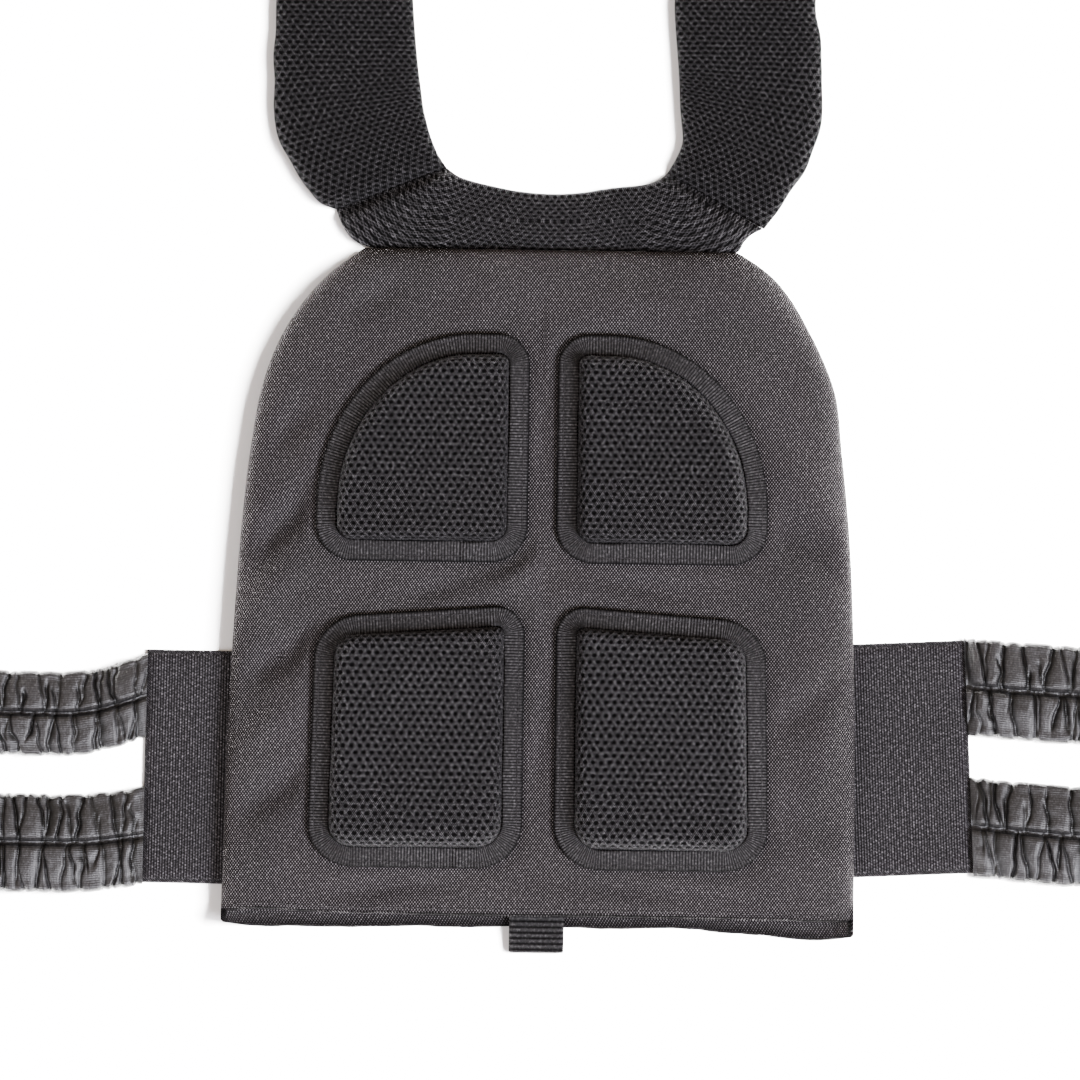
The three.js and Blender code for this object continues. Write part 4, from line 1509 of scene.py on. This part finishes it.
@dataclass
class CollarStrip:
    """Padded strip of spacer mesh that runs through stations of the collar."""

    node: str
    stations: Array
    origin: tuple[float, float]
    step: float
    across: int
    finish: str
    pinch_start: float
    pinch_end: float
    seed: int
    neck_line: Array | None = None
    usual_width: float = 0.066
    pinch_width: float = 0.0035
    middle_height: float = 0.36
    top_power: float = 0.62
    under_power: float = 0.35
    broad_softness: float = 0.0006
    fine_softness: float = 0.00025

    def section(self) -> tuple[Array, Array]:
        """Section of the strip: the upper and lower halves of a superellipse, flat below.

        Returns:
            Shares of the width, and shares of the thickness.
        """
        turn = np.linspace(0, math.pi, 200)
        across, rise = np.cos(turn), np.sin(turn)
        middle = self.middle_height
        upper = np.stack([0.5 - 0.5 * np.sign(across) * np.abs(across) ** self.top_power,
                          middle + (1 - middle) * rise ** self.top_power], axis=1)
        lower = np.stack([0.5 + 0.5 * np.sign(across) * np.abs(across) ** self.under_power,
                          middle - middle * rise ** self.under_power], axis=1)
        scale = np.array([self.usual_width, COLLAR_THICKNESS])
        top = respaced(upper * scale, self.across) / scale
        under = respaced(lower * scale, 18)[1:-1] / scale
        return np.concatenate([top[:, 0], under[:, 0]]), np.concatenate([top[:, 1], under[:, 1]])

    def grid(self) -> Skin:
        """Skin of the strip, open at both ends.

        Each row lies between the neck edge and the outer edge, which are smooth curves through the
        stations. Near an end the thickness is pinched by a seam.

        Returns:
            The skin.
        """
        rows = self.stations
        middles = (rows[:, 0:2] + rows[:, 2:4]) / 2
        knots = along_lengths(middles)
        run = np.linspace(0, knots[-1], max(int(knots[-1] / self.step), 12))
        neck_x, neck_y, outer_x, outer_y, high = (smooth_between(run, knots, rows[:, k])
                                                  for k in range(len(COLLAR_COLUMNS)))
        wave = 0.0007 * smooth_noise(run, run * 0, 0.012, self.seed)
        outer_x = outer_x + wave * np.sign(outer_x)
        pinch = 1 - self.pinch_start * np.exp(-(run / self.pinch_width) ** 2)
        pinch = pinch * (1 - self.pinch_end * np.exp(-((knots[-1] - run) / self.pinch_width) ** 2))
        share, up = self.section()
        width = np.hypot(outer_x - neck_x, outer_y - neck_y)
        x = neck_x[:, None] + (outer_x - neck_x)[:, None] * share[None, :]
        y = neck_y[:, None] + (outer_y - neck_y)[:, None] * share[None, :]
        thickness = (COLLAR_THICKNESS * high * pinch)[:, None]
        top = np.arange(len(share)) < self.across
        z = up[None, :] * thickness
        arc = along_lengths(np.stack([share[:self.across] * self.usual_width,
                                      up[:self.across] * COLLAR_THICKNESS], axis=1))
        spread = np.zeros(len(share))
        spread[:self.across] = (arc - arc[-1] / 2) / self.usual_width
        spread[self.across:] = np.linspace(spread[self.across - 1], spread[0], len(share) - self.across)
        lattice = LATTICES[self.finish]
        cloth_x, cloth_y = lattice.drawn(*self.cloth_place(run, spread, width, x, y, z), self.seed)
        relief = lattice.relief(cloth_x, cloth_y)
        soft = self.broad_softness * smooth_noise(x, y, 0.02, self.seed + 3)
        soft = soft + self.fine_softness * smooth_noise(x, y, 0.007, self.seed + 4)
        # Share of the top face that carries the knit's relief and the holes' painted shade.
        hole_relief_share = np.broadcast_to(np.where(top, ease((up - 0.3) / 0.3), 0.0)[None, :], x.shape)
        z = np.where(top[None, :], z + (relief + soft) * hole_relief_share, z)
        cloth = np.stack([cloth_x, cloth_y], axis=-1)
        points = np.stack([x + self.origin[0], y + self.origin[1], z], axis=-1)
        return Skin.grid(points, cloth, hole_relief_share, columns_closed=True)

    def cloth_place(self, run: Array, spread: Array, width: Array, x: Array, y: Array,
                    z: Array) -> tuple[Array, Array]:
        """Where each point lies on the flat cloth.

        The yoke's rows of holes follow the neck edge: a place is the length along that edge to its
        nearest point, and the distance from it. A shoulder pad's rows run straight across it.

        Args:
            run: Lengths along the strip, one a row.
            spread: Lengths across the strip as shares of its width, one a column.
            width: Width of the strip at each row.
            x: Points' x.
            y: Their y.
            z: Their z.

        Returns:
            Both cloth coordinates.
        """
        if self.neck_line is None:
            return spread[None, :] * width[:, None], np.broadcast_to(run[:, None], x.shape)
        edge = respaced(self.neck_line, 4000)
        index, far = nearest_on(edge, np.stack([x.ravel(), y.ravel()], axis=1))
        lengths = along_lengths(edge)[index].reshape(x.shape)
        return lengths, far.reshape(x.shape) + 0.5 * (COLLAR_THICKNESS - z) * (spread[None, :] < 0)

    def build(self, wardrobe: Wardrobe) -> None:
        """Make the strip."""
        piece = place_piece(self.node + "_mesh", self.grid(), wardrobe.meshes[self.finish], Slot.MESH,
                            [self.node], fill=True)


@dataclass
class Collar:
    """Yoke and shoulder pads."""

    panel: PanelPocket

    def stations(self, table: Sequence[Sequence[float]], side: Side) -> Array:
        """Stations of one side in metres, from the middle outwards.

        Args:
            table: Rows of shares.
            side: The side.

        Returns:
            Rows of neck x and y, outer x and y, and the share of the thickness.
        """
        rows = np.array(table)
        foot = PANEL_HEIGHT + 0.0003
        return np.stack([
            side.value * rows[:, 0] * COLLAR_HALF_WIDTH,
            foot + rows[:, 1] * COLLAR_REACH,
            side.value * rows[:, 2] * COLLAR_HALF_WIDTH,
            foot + rows[:, 3] * COLLAR_REACH,
            rows[:, 4],
        ], axis=1)

    def build(self, wardrobe: Wardrobe) -> None:
        """Make the yoke and both shoulder pads.

        Args:
            wardrobe: The finishes.
        """
        origin = (self.panel.centre_x, self.panel.hem_y)
        left = self.stations(COLLAR_LEFT, Side.LEFT)
        right = self.stations(COLLAR_RIGHT, Side.RIGHT)
        yoke = np.concatenate([left[:COLLAR_SEAM + 1][::-1], right[:COLLAR_SEAM + 1]])
        every = np.concatenate([left[::-1], right])
        knots = along_lengths(every[:, :2])
        run = np.linspace(0, knots[-1], 900)
        neck_line = np.stack([smooth_between(run, knots, every[:, k]) for k in (0, 1)], axis=1)
        CollarStrip("yoke", yoke, origin, step=0.00060, across=98, finish="yoke", pinch_start=0.55,
                    pinch_end=0.55, seed=71, neck_line=neck_line).build(wardrobe)
        for side, rows in ((Side.LEFT, left), (Side.RIGHT, right)):
            CollarStrip(f"shoulder_pad_{side.word}", rows[COLLAR_SEAM:], origin, step=0.00062, across=104,
                        finish="shoulder", pinch_start=0.55, pinch_end=0.1,
                        seed=75 + side.value).build(wardrobe)


@dataclass
class FlatStrap:
    """Flat webbing strap that follows a node's own ends."""

    side: Side
    width: float = 0.0477
    rib_pitch: float = 0.0016
    rib_height: float = 0.00012
    edge_power: float = 12

    def build(self, wardrobe: Wardrobe) -> None:
        """Sweep the strap from the shoulder pad to the front panel.

        The middle line eases across as it runs, and the section is a flat rounded bar.

        Args:
            wardrobe: The finishes.
        """
        node = f"shoulder_strap_{self.side.word}"
        low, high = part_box(node)
        half = self.width / 2
        ends = (low.x + half, high.x - half)
        start_x, end_x = ends if self.side is Side.LEFT else ends[::-1]
        t = np.linspace(0, 1, 180)
        middle_x = start_x + (end_x - start_x) * ease(t)
        y = low.y + (high.y - low.y) * t
        across, edge, is_top = tape_section(22, self.edge_power)
        z = np.where(is_top, 0.5 + 0.48 * edge, 0.5 - 0.48 * edge) * (high.z - low.z)
        wave = np.cos(2 * math.pi * y / self.rib_pitch)[:, None]
        rib = self.rib_height * wave * is_top[None, :] * edge[None, :]
        x = middle_x[:, None] + across[None, :] * self.width / 2
        run = np.broadcast_to(y[:, None], x.shape)
        points = np.stack([x, run, z[None, :] + rib], axis=-1)
        cloth = np.stack([run, np.broadcast_to(across * self.width / 2, x.shape)], axis=-1)
        skin = Skin.grid(points, cloth, columns_closed=True)
        place_piece(node + "_webbing", skin, wardrobe.webbing, Slot.WEBBING, [node],
                    Cut(self.width, high.y - low.y), fill=True)


# Pull tab


@dataclass
class PullTab:
    """Webbing loop that comes out of the pocket's mouth and folds back under itself."""

    node: str
    panel: PanelPocket
    width: float = 0.0254
    thickness: float = 0.0014
    rib_pitch: float = 0.0026
    rib_height: float = 0.00022
    edge_power: float = 10

    # Middle line of the webbing: v from the hem, and height, both in millimetres.
    LINE_V = (2.8, 0.5, -3.0, -6.0, -9.0, -12.1, -14.6, -15.8, -15.3, -13.3, -10.3, -8.0, -5.8, -2.0, 2.8)
    LINE_Z = (5.0, 5.1, 5.0, 4.5, 3.9, 3.5, 3.1, 2.0, 1.0, 0.8, 0.9, 1.6, 3.0, 3.2, 3.2)

    def build(self, wardrobe: Wardrobe) -> None:
        """Sweep the webbing along its middle line, with a rib for each wave of its outer face.

        Args:
            wardrobe: The finishes.
        """
        knots = np.arange(len(self.LINE_V))
        fine = np.linspace(0, knots[-1], 600)
        line = np.stack([smooth_between(fine, knots, values) for values in (self.LINE_V, self.LINE_Z)],
                        axis=1) * MM
        line = respaced(line, 150)
        run = along_lengths(line)
        tangent = unit(np.gradient(line, axis=0))
        normal = np.stack([tangent[:, 1], -tangent[:, 0]], axis=1)
        across, edge, is_out = tape_section(24, self.edge_power)
        rib = self.rib_height * np.cos(2 * math.pi * run / self.rib_pitch)
        reach = np.where(is_out, 1.0, -1.0)[None, :] * edge[None, :] * self.thickness / 2
        reach = reach + (rib[:, None] * edge[None, :]) * is_out[None, :]
        v = line[:, 0:1] + normal[:, 0:1] * reach
        z = np.maximum(line[:, 1:2] + normal[:, 1:2] * reach, 0.0001)
        u = np.broadcast_to((across * self.width / 2)[None, :], v.shape)
        cloth = np.stack([np.broadcast_to(run[:, None], v.shape), u], axis=-1)
        skin = Skin.grid(self.panel.to_vest(u, v, z), cloth, columns_closed=True)
        place_piece(self.node + "_webbing", skin, wardrobe.webbing, Slot.WEBBING, [self.node],
                    Cut(self.width, run[-1], "folded"), fill=True)


# Side closures


@dataclass
class HookTab:
    """Flat tab of hook tape, in the turned frame of its closure, with a narrow plain border."""

    node: str
    side: Side
    tilt: float
    length: float
    height: float
    border: float = 0.0016
    edge_radius: float = 0.0009
    border_depth: float = 0.00045
    seed: int = 5

    def lines(self, size: float) -> Array:
        """Grid lines across the tab, close together at its two edges."""
        near = size / 2 - np.array([0.0, 0.0002, 0.0005, 0.0009, 0.0016, 0.0020, 0.0024])
        return np.concatenate([-near, np.linspace(-size / 2 + 0.006, size / 2 - 0.006, 30), near[::-1]])

    def build(self, wardrobe: Wardrobe) -> None:
        """Make the tab: a thin slab with rounded edges, slightly wavy.

        Args:
            wardrobe: The finishes.
        """
        low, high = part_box(self.node)
        x, y = np.meshgrid(self.lines(self.length), self.lines(self.height))
        gap = np.minimum(self.length / 2 - np.abs(x), self.height / 2 - np.abs(y))
        round_off = np.sqrt(1 - (1 - np.clip(gap / self.edge_radius, 0, 1)) ** 2)
        thick = high.z - low.z
        hooks = ease((gap - self.border) / 0.0008)
        top = thick * (0.5 + 0.5 * round_off) - self.border_depth * (1 - hooks) - 0.00012
        top = top + 0.0002 * smooth_noise(x, y, 0.02, self.seed)
        under = thick * 0.5 * (1 - round_off)
        across, along = turned(self.side, self.tilt, x, y)
        across, along = across + (low.x + high.x) / 2, along + (low.y + high.y) / 2
        skin = closed_slab(np.stack([across, along, top], axis=-1), np.stack([across, along, under], axis=-1),
                           np.stack([x, y], axis=-1), hooks)
        place_piece(self.node + "_tape", skin, wardrobe.hook, Slot.HOOK, [self.node],
                    Cut(self.length, self.height))


@dataclass
class GatheredBand:
    """Elastic band in a gathered nylon tube, stitched along its middle.

    The foot, the arch and the lift are shares of the puff: the edges' height, the arch's where the
    gathers are deepest, and what the gathers add.
    """

    node: str
    side: Side
    tilt: float
    droop: float
    start: tuple[float, float]
    seed: int
    width: float
    level_length: float
    length: float = 0.1508
    puff: float = 0.0076
    foot: float = 0.16
    arch: float = 0.38
    lift: float = 0.46
    edge_power: float = 3.2
    seam_width: float = 0.07
    seam_depth: float = 0.5
    end_height: float = 0.62
    end_length: float = 0.006
    edge_pull: float = 0.0016
    drift: float = 0.0011
    cut_width: float = 1.1
    cut_length: float = 1.35
    crease_count: int = 34
    steps: int = 306
    across: int = 51
    seen_length: float = 0.085
    knot_gap: tuple[float, float] = (0.0062, 0.0128)
    crease_width: tuple[float, float] = (0.0007, 0.0018)

    def folds(self, s: Array, w: Array, half_seed: int) -> tuple[Array, Array]:
        """Gathers on one half of the band.

        Creases start in pairs from knots on the seam, lean apart and bend on their way to the edge,
        and may fade out before it. A crease is a cusp, steeper on one of its sides: the height is 1
        less the deepest of the creases' exponentials.

        Args:
            s: Distance along the band.
            w: Place across, from -1 to 1.
            half_seed: Seed of this half.

        Returns:
            Height share from 0 to 1, and a painted shade that is 1 down in a crease.
        """
        rng = np.random.default_rng(half_seed)
        count = self.crease_count
        knots = np.repeat(np.cumsum(rng.uniform(*self.knot_gap, count // 2)) - 0.006, 2)
        starts = knots + rng.normal(0, 0.0007, count)
        lean = np.tile([-1.0, 1.0], count // 2) * rng.uniform(0.0002, 0.0056, count)
        bend = rng.normal(0, 0.0006, count)
        depth, width = rng.uniform(0.6, 1.0, count), rng.uniform(*self.crease_width, count)
        skew = np.exp(rng.normal(0, 0.45, count))
        fade_from, fades = rng.uniform(0.25, 0.8, count), rng.random(count) < 0.35
        out = np.abs(w)
        height = np.ones_like(s)
        for k in range(count):
            gap = s - starts[k] - lean[k] * out - bend[k] * np.sin(math.pi * out)
            fall = np.exp(-np.abs(gap) / (width[k] * np.where(gap > 0, skew[k], 1 / skew[k])))
            hold = 1 - ease((out - fade_from[k]) / 0.3) if fades[k] else 1.0
            height = np.minimum(height, 1 - depth[k] * fall * hold)
        height = height + 0.05 * smooth_noise(s, w * 0.02, 0.0016, half_seed + 2)
        return height, ease((0.82 - height) / 0.42)

    def heights(self, s: Array, w: Array, gathers: Array, seam: Array) -> Array:
        """Heights of the outer face: a low arch with a stitched valley, lifted by the gathers.

        Args:
            s: Distance along the band.
            w: Place across, from -1 to 1.
            gathers: Height share of the gathers.
            seam: Nearness to the seam, 1 on it.

        Returns:
            The heights.
        """
        arch = (1 - np.abs(w) ** self.edge_power) ** 0.5
        edge_lift = 0.25 * ease((np.abs(w) - 0.75) / 0.25) * gathers
        z = self.puff * (self.foot + (self.arch + self.lift * gathers) * arch + edge_lift)
        z = z * (1 - self.seam_depth * seam)
        end = np.minimum(s, self.length - s)
        return z * (self.end_height + (1 - self.end_height) * ease(end / self.end_length))

    def build(self, wardrobe: Wardrobe) -> None:
        """Make the band and the stitching along its middle; the gathers pull its edges in and out.

        Args:
            wardrobe: The finishes.
        """
        seen = np.linspace(0, self.seen_length, self.steps * 2 // 3, endpoint=False)
        rest = np.linspace(self.seen_length, self.length, self.steps // 3)
        s = np.concatenate([seen, rest])[:, None]
        even = np.linspace(-1, 1, self.across)
        w = np.sin(np.linspace(-math.pi / 2, math.pi / 2, self.across)) * 0.45 + even * 0.55
        s_all, w_all = np.broadcast_arrays(s, w[None, :])
        upper = self.folds(s_all, w_all, self.seed)
        lower = self.folds(s_all, w_all, self.seed + 50)
        side_share = ease(0.5 + w_all / 0.12)
        height = upper[0] * side_share + lower[0] * (1 - side_share)
        crease_shade = upper[1] * side_share + lower[1] * (1 - side_share)
        seam = np.exp(-(w_all / self.seam_width) ** 2)
        z = self.heights(s_all, w_all, height, seam)
        crest_edge = np.where(w_all > 0, upper[0], lower[0])
        pull = self.edge_pull * (crest_edge - 0.7) * ease((np.abs(w_all) - 0.5) / 0.5)
        y = w_all * (self.width / 2 + 0.0006) + np.sign(w_all) * pull
        s_shift = s_all + self.drift * smooth_noise(s_all, w_all * 0.03, 0.008, self.seed + 7) * (1 - seam)
        s_shift[[0, -1]] = s_all[[0, -1]]
        under = np.linspace(1, -1, 9)[None, 1:-1]
        s_under, w_under = np.broadcast_arrays(s, under)
        s_full = np.concatenate([s_shift, s_under], axis=1)
        y_full = np.concatenate([y, w_under * (self.width / 2 - 0.0025)], axis=1)
        z_full = np.concatenate([z, np.full(s_under.shape, 0.0002)], axis=1)
        # Painted shade: dark down in the creases and along the seam's valley, none on the underside.
        band_shade = np.concatenate([np.maximum(crease_shade, 0.7 * seam), s_under * 0], axis=1)
        points = self.to_vest(s_full, y_full + self.fall(s_full), z_full)
        wide = np.concatenate([w_all, w_under], axis=1) * self.width / 2
        cloth = np.stack([s_full * 1.6, wide], axis=-1)
        skin = Skin.grid(points, cloth, band_shade, columns_closed=True)
        place_piece(self.node + "_nylon", skin, wardrobe.nylon, Slot.BAND, [self.node],
                    Cut(self.cut_width * self.width, self.cut_length * self.length, "gathered"), fill=True)
        self.build_stitching(wardrobe, s[:, 0], z[:, self.across // 2])

    def fall(self, s: Array) -> Array:
        """How far the band's middle drops on its way out: a quarter of a sine wave."""
        return -self.droop * np.sin(np.clip(s / self.level_length, 0, 1) * math.pi / 2)

    def to_vest(self, s: Array, y: Array, z: Array) -> Array:
        """Points of the vest's frame from the band's own: s outwards, y towards the neck."""
        across, along = turned(self.side, self.tilt, self.side.value * s, y)
        return np.stack([self.start[0] + across, self.start[1] + along, z], axis=-1)

    def build_stitching(self, wardrobe: Wardrobe, s: Array, z: Array) -> None:
        """Sew the middle line.

        Args:
            wardrobe: The finishes.
            s: Distances along the band.
            z: Heights of the middle line there.
        """
        at = np.arange(0.003, self.length - 0.003, BAND_SEAM.pitch)
        height = np.interp(at, s, z) + BAND_SEAM.radius
        wander = 0.0004 * smooth_noise(at, at * 0, 0.006, self.seed + 3)
        centres = self.to_vest(at, self.fall(at) + wander, height)
        skin = stitches(centres, unit(np.gradient(centres, axis=0)), BAND_SEAM)
        place_piece(self.node + "_stitching", skin, wardrobe.thread, Slot.BAND)


@dataclass
class Closure:
    """Hook tab, two gathered bands and an end tab of one side."""

    side: Side
    panel: PanelPocket
    reveal: float
    tilt: float
    base: float
    level_length: float
    droops: dict[Level, float]
    widths: dict[Level, float]
    tab_length: float = 0.113
    tab_height: float = 0.108
    end_length: float = 0.080
    band_width: float = 0.043
    overlap: float = 0.0004

    def build(self, wardrobe: Wardrobe) -> None:
        """Make all its pieces.

        Args:
            wardrobe: The finishes.
        """
        word = self.side.word
        HookTab(f"hook_tab_{word}", self.side, self.tilt, self.tab_length, self.tab_height).build(wardrobe)
        HookTab(f"end_tab_{word}", self.side, self.tilt, self.end_length, self.tab_height).build(wardrobe)
        edge = np.array(self.side.value * PANEL_HALF_WIDTH)
        anchor = self.panel.to_vest(edge, np.array(self.base), np.array(0.0))
        offset = (self.tab_height - self.band_width) / 2
        for level, up in ((Level.UPPER, 1), (Level.LOWER, -1)):
            x, y = turned(self.side, self.tilt, self.side.value * (self.reveal - self.overlap), up * offset)
            GatheredBand(f"band_{word}_{level.value}", self.side, self.tilt, self.droops[level],
                         start=(anchor[0] + x, anchor[1] + y), seed=100 + 7 * up + 20 * self.side.value,
                         width=self.widths[level], level_length=self.level_length).build(wardrobe)


# Studio


@dataclass
class Studio:
    """Pale floor, a soft key from the right, a weak fill, and a camera nearly straight above."""

    target: tuple[float, float, float]
    view_width: float = 0.5
    distance: float = 5.0
    tilt: float = 3.5
    roll: float = 0.8
    sensor: float = 0.036
    floor_half: float = 6.0
    surroundings: tuple[float, float, float] = (1.0, 0.85, 0.73)
    surround_strength: float = 0.78
    light_colour: tuple[float, float, float] = (0.96, 0.96, 1.06)

    def build_floor(self) -> None:
        """Lay a wide pale floor and gather it into the collection that the floor light is linked to."""
        half = self.floor_half
        mesh = bpy.data.meshes.new("floor")
        corners = [(-half, -half, 0), (half, -half, 0), (half, half, 0), (-half, half, 0)]
        mesh.from_pydata(corners, [], [(0, 1, 2, 3)])
        floor = bpy.data.objects.new("floor", mesh)
        bpy.context.scene.collection.objects.link(floor)
        material = bpy.data.materials.new("pale_floor")
        material.use_nodes = True
        shader = material.node_tree.nodes["Principled BSDF"]
        shader.inputs["Base Color"].default_value = (0.95, 0.94, 0.93, 1)
        shader.inputs["Roughness"].default_value = 0.9
        shader.inputs["Specular IOR Level"].default_value = 0.0
        mesh.materials.append(material)
        self.lit_floor = bpy.data.collections.new("lit_floor")
        self.lit_floor.objects.link(floor)

    def build_lights(self) -> None:
        """Hang a soft key from the right, a weak fill from the left and one for the floor alone."""
        world = bpy.data.worlds.new("soft_surroundings")
        bpy.context.scene.world = world
        world.use_nodes = True
        back = world.node_tree.nodes["Background"]
        back.inputs[0].default_value = (*self.surroundings, 1)
        back.inputs[1].default_value = self.surround_strength
        key = self.area("key_light", (2.9, -1.9, 3.0), 1.8, 495.0)
        fill = self.area("fill_light", (-2.4, -2.4, 2.4), 2.0, 105.0)
        for light in (key, fill):
            light.data.color = self.light_colour
        sweep = self.area("floor_light", (2.6, 0.1, 2.0), 1.8, 4600.0)
        sweep.light_linking.receiver_collection = self.lit_floor

    def area(self, name: str, place: tuple[float, float, float], size: float,
             power: float) -> bpy.types.Object:
        """Hang a square area light that faces the vest.

        Args:
            name: Name of the light.
            place: Where it hangs, from the target.
            size: Its side.
            power: Its power in watts.

        Returns:
            The light.
        """
        data = bpy.data.lights.new(name, "AREA")
        data.shape, data.size, data.energy = "SQUARE", size, power
        light = bpy.data.objects.new(name, data)
        bpy.context.scene.collection.objects.link(light)
        spot = Vector(self.target) + Vector(place)
        light.location = spot
        light.rotation_euler = (Vector(self.target) - spot).to_track_quat("-Z", "Y").to_euler()
        return light

    def build_camera(self) -> None:
        """Set the camera over the target, leaned towards the hem and rolled a little."""
        data = bpy.data.cameras.new("camera")
        data.sensor_width = self.sensor * 1000
        data.lens = self.sensor * 1000 * self.distance / self.view_width
        camera = bpy.data.objects.new("camera", data)
        bpy.context.scene.collection.objects.link(camera)
        lean = math.radians(self.tilt)
        turn = Matrix.Rotation(lean, 4, "X") @ Matrix.Rotation(math.radians(self.roll), 4, "Z")
        away = Matrix.Rotation(lean, 4, "X") @ Vector((0, 0, self.distance, 1))
        camera.matrix_world = Matrix.Translation(Vector(self.target) + away.to_3d()) @ turn
        bpy.context.scene.camera = camera

    def build(self) -> None:
        """Make the floor, the lights and the camera."""
        self.build_floor()
        self.build_lights()
        self.build_camera()


def main() -> None:
    """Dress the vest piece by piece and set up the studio."""
    logging.basicConfig(level=logging.INFO, format="%(message)s")
    wardrobe = Wardrobe()
    loops = []
    for shape in PAD_SHAPES.values():
        loop = shape.outline(0.0, 400)
        loops.append(loop)
        loops.append((loop * np.array([-1.0, 1.0]))[::-1])
    back = PanelPocket("back_panel", facing=1, columns=178, rows=172,
                       rests_on_tabs=("hook_tab_left", "hook_tab_right"), pad_loops=tuple(loops))
    front = PanelPocket("front_panel", facing=-1, columns=90, rows=84)
    back.build(wardrobe)
    front.build(wardrobe)
    for number, (level, side) in enumerate((level, side) for level in Level for side in Side):
        BodyPad(level, side, back, 3 + number).build(wardrobe)
    Collar(back).build(wardrobe)
    for side in Side:
        FlatStrap(side).build(wardrobe)
    PullTab("back_pull_tab", back).build(wardrobe)
    PullTab("front_pull_tab", front).build(wardrobe)
    upper, lower = Level.UPPER, Level.LOWER
    Closure(Side.LEFT, back, reveal=0.036, tilt=0.5, base=0.0677, level_length=0.040,
            droops={upper: 0.0095, lower: 0.0045}, widths={upper: 0.0375, lower: 0.044}).build(wardrobe)
    Closure(Side.RIGHT, back, reveal=0.053, tilt=2.9, base=0.0748, level_length=0.080,
            droops={upper: 0.007, lower: 0.008}, widths={upper: 0.044, lower: 0.045}).build(wardrobe)
    target = (back.centre_x - 0.0008, back.hem_y + 0.1746, 0.012)
    Studio(target).build()


if __name__ == "__main__":
    main()
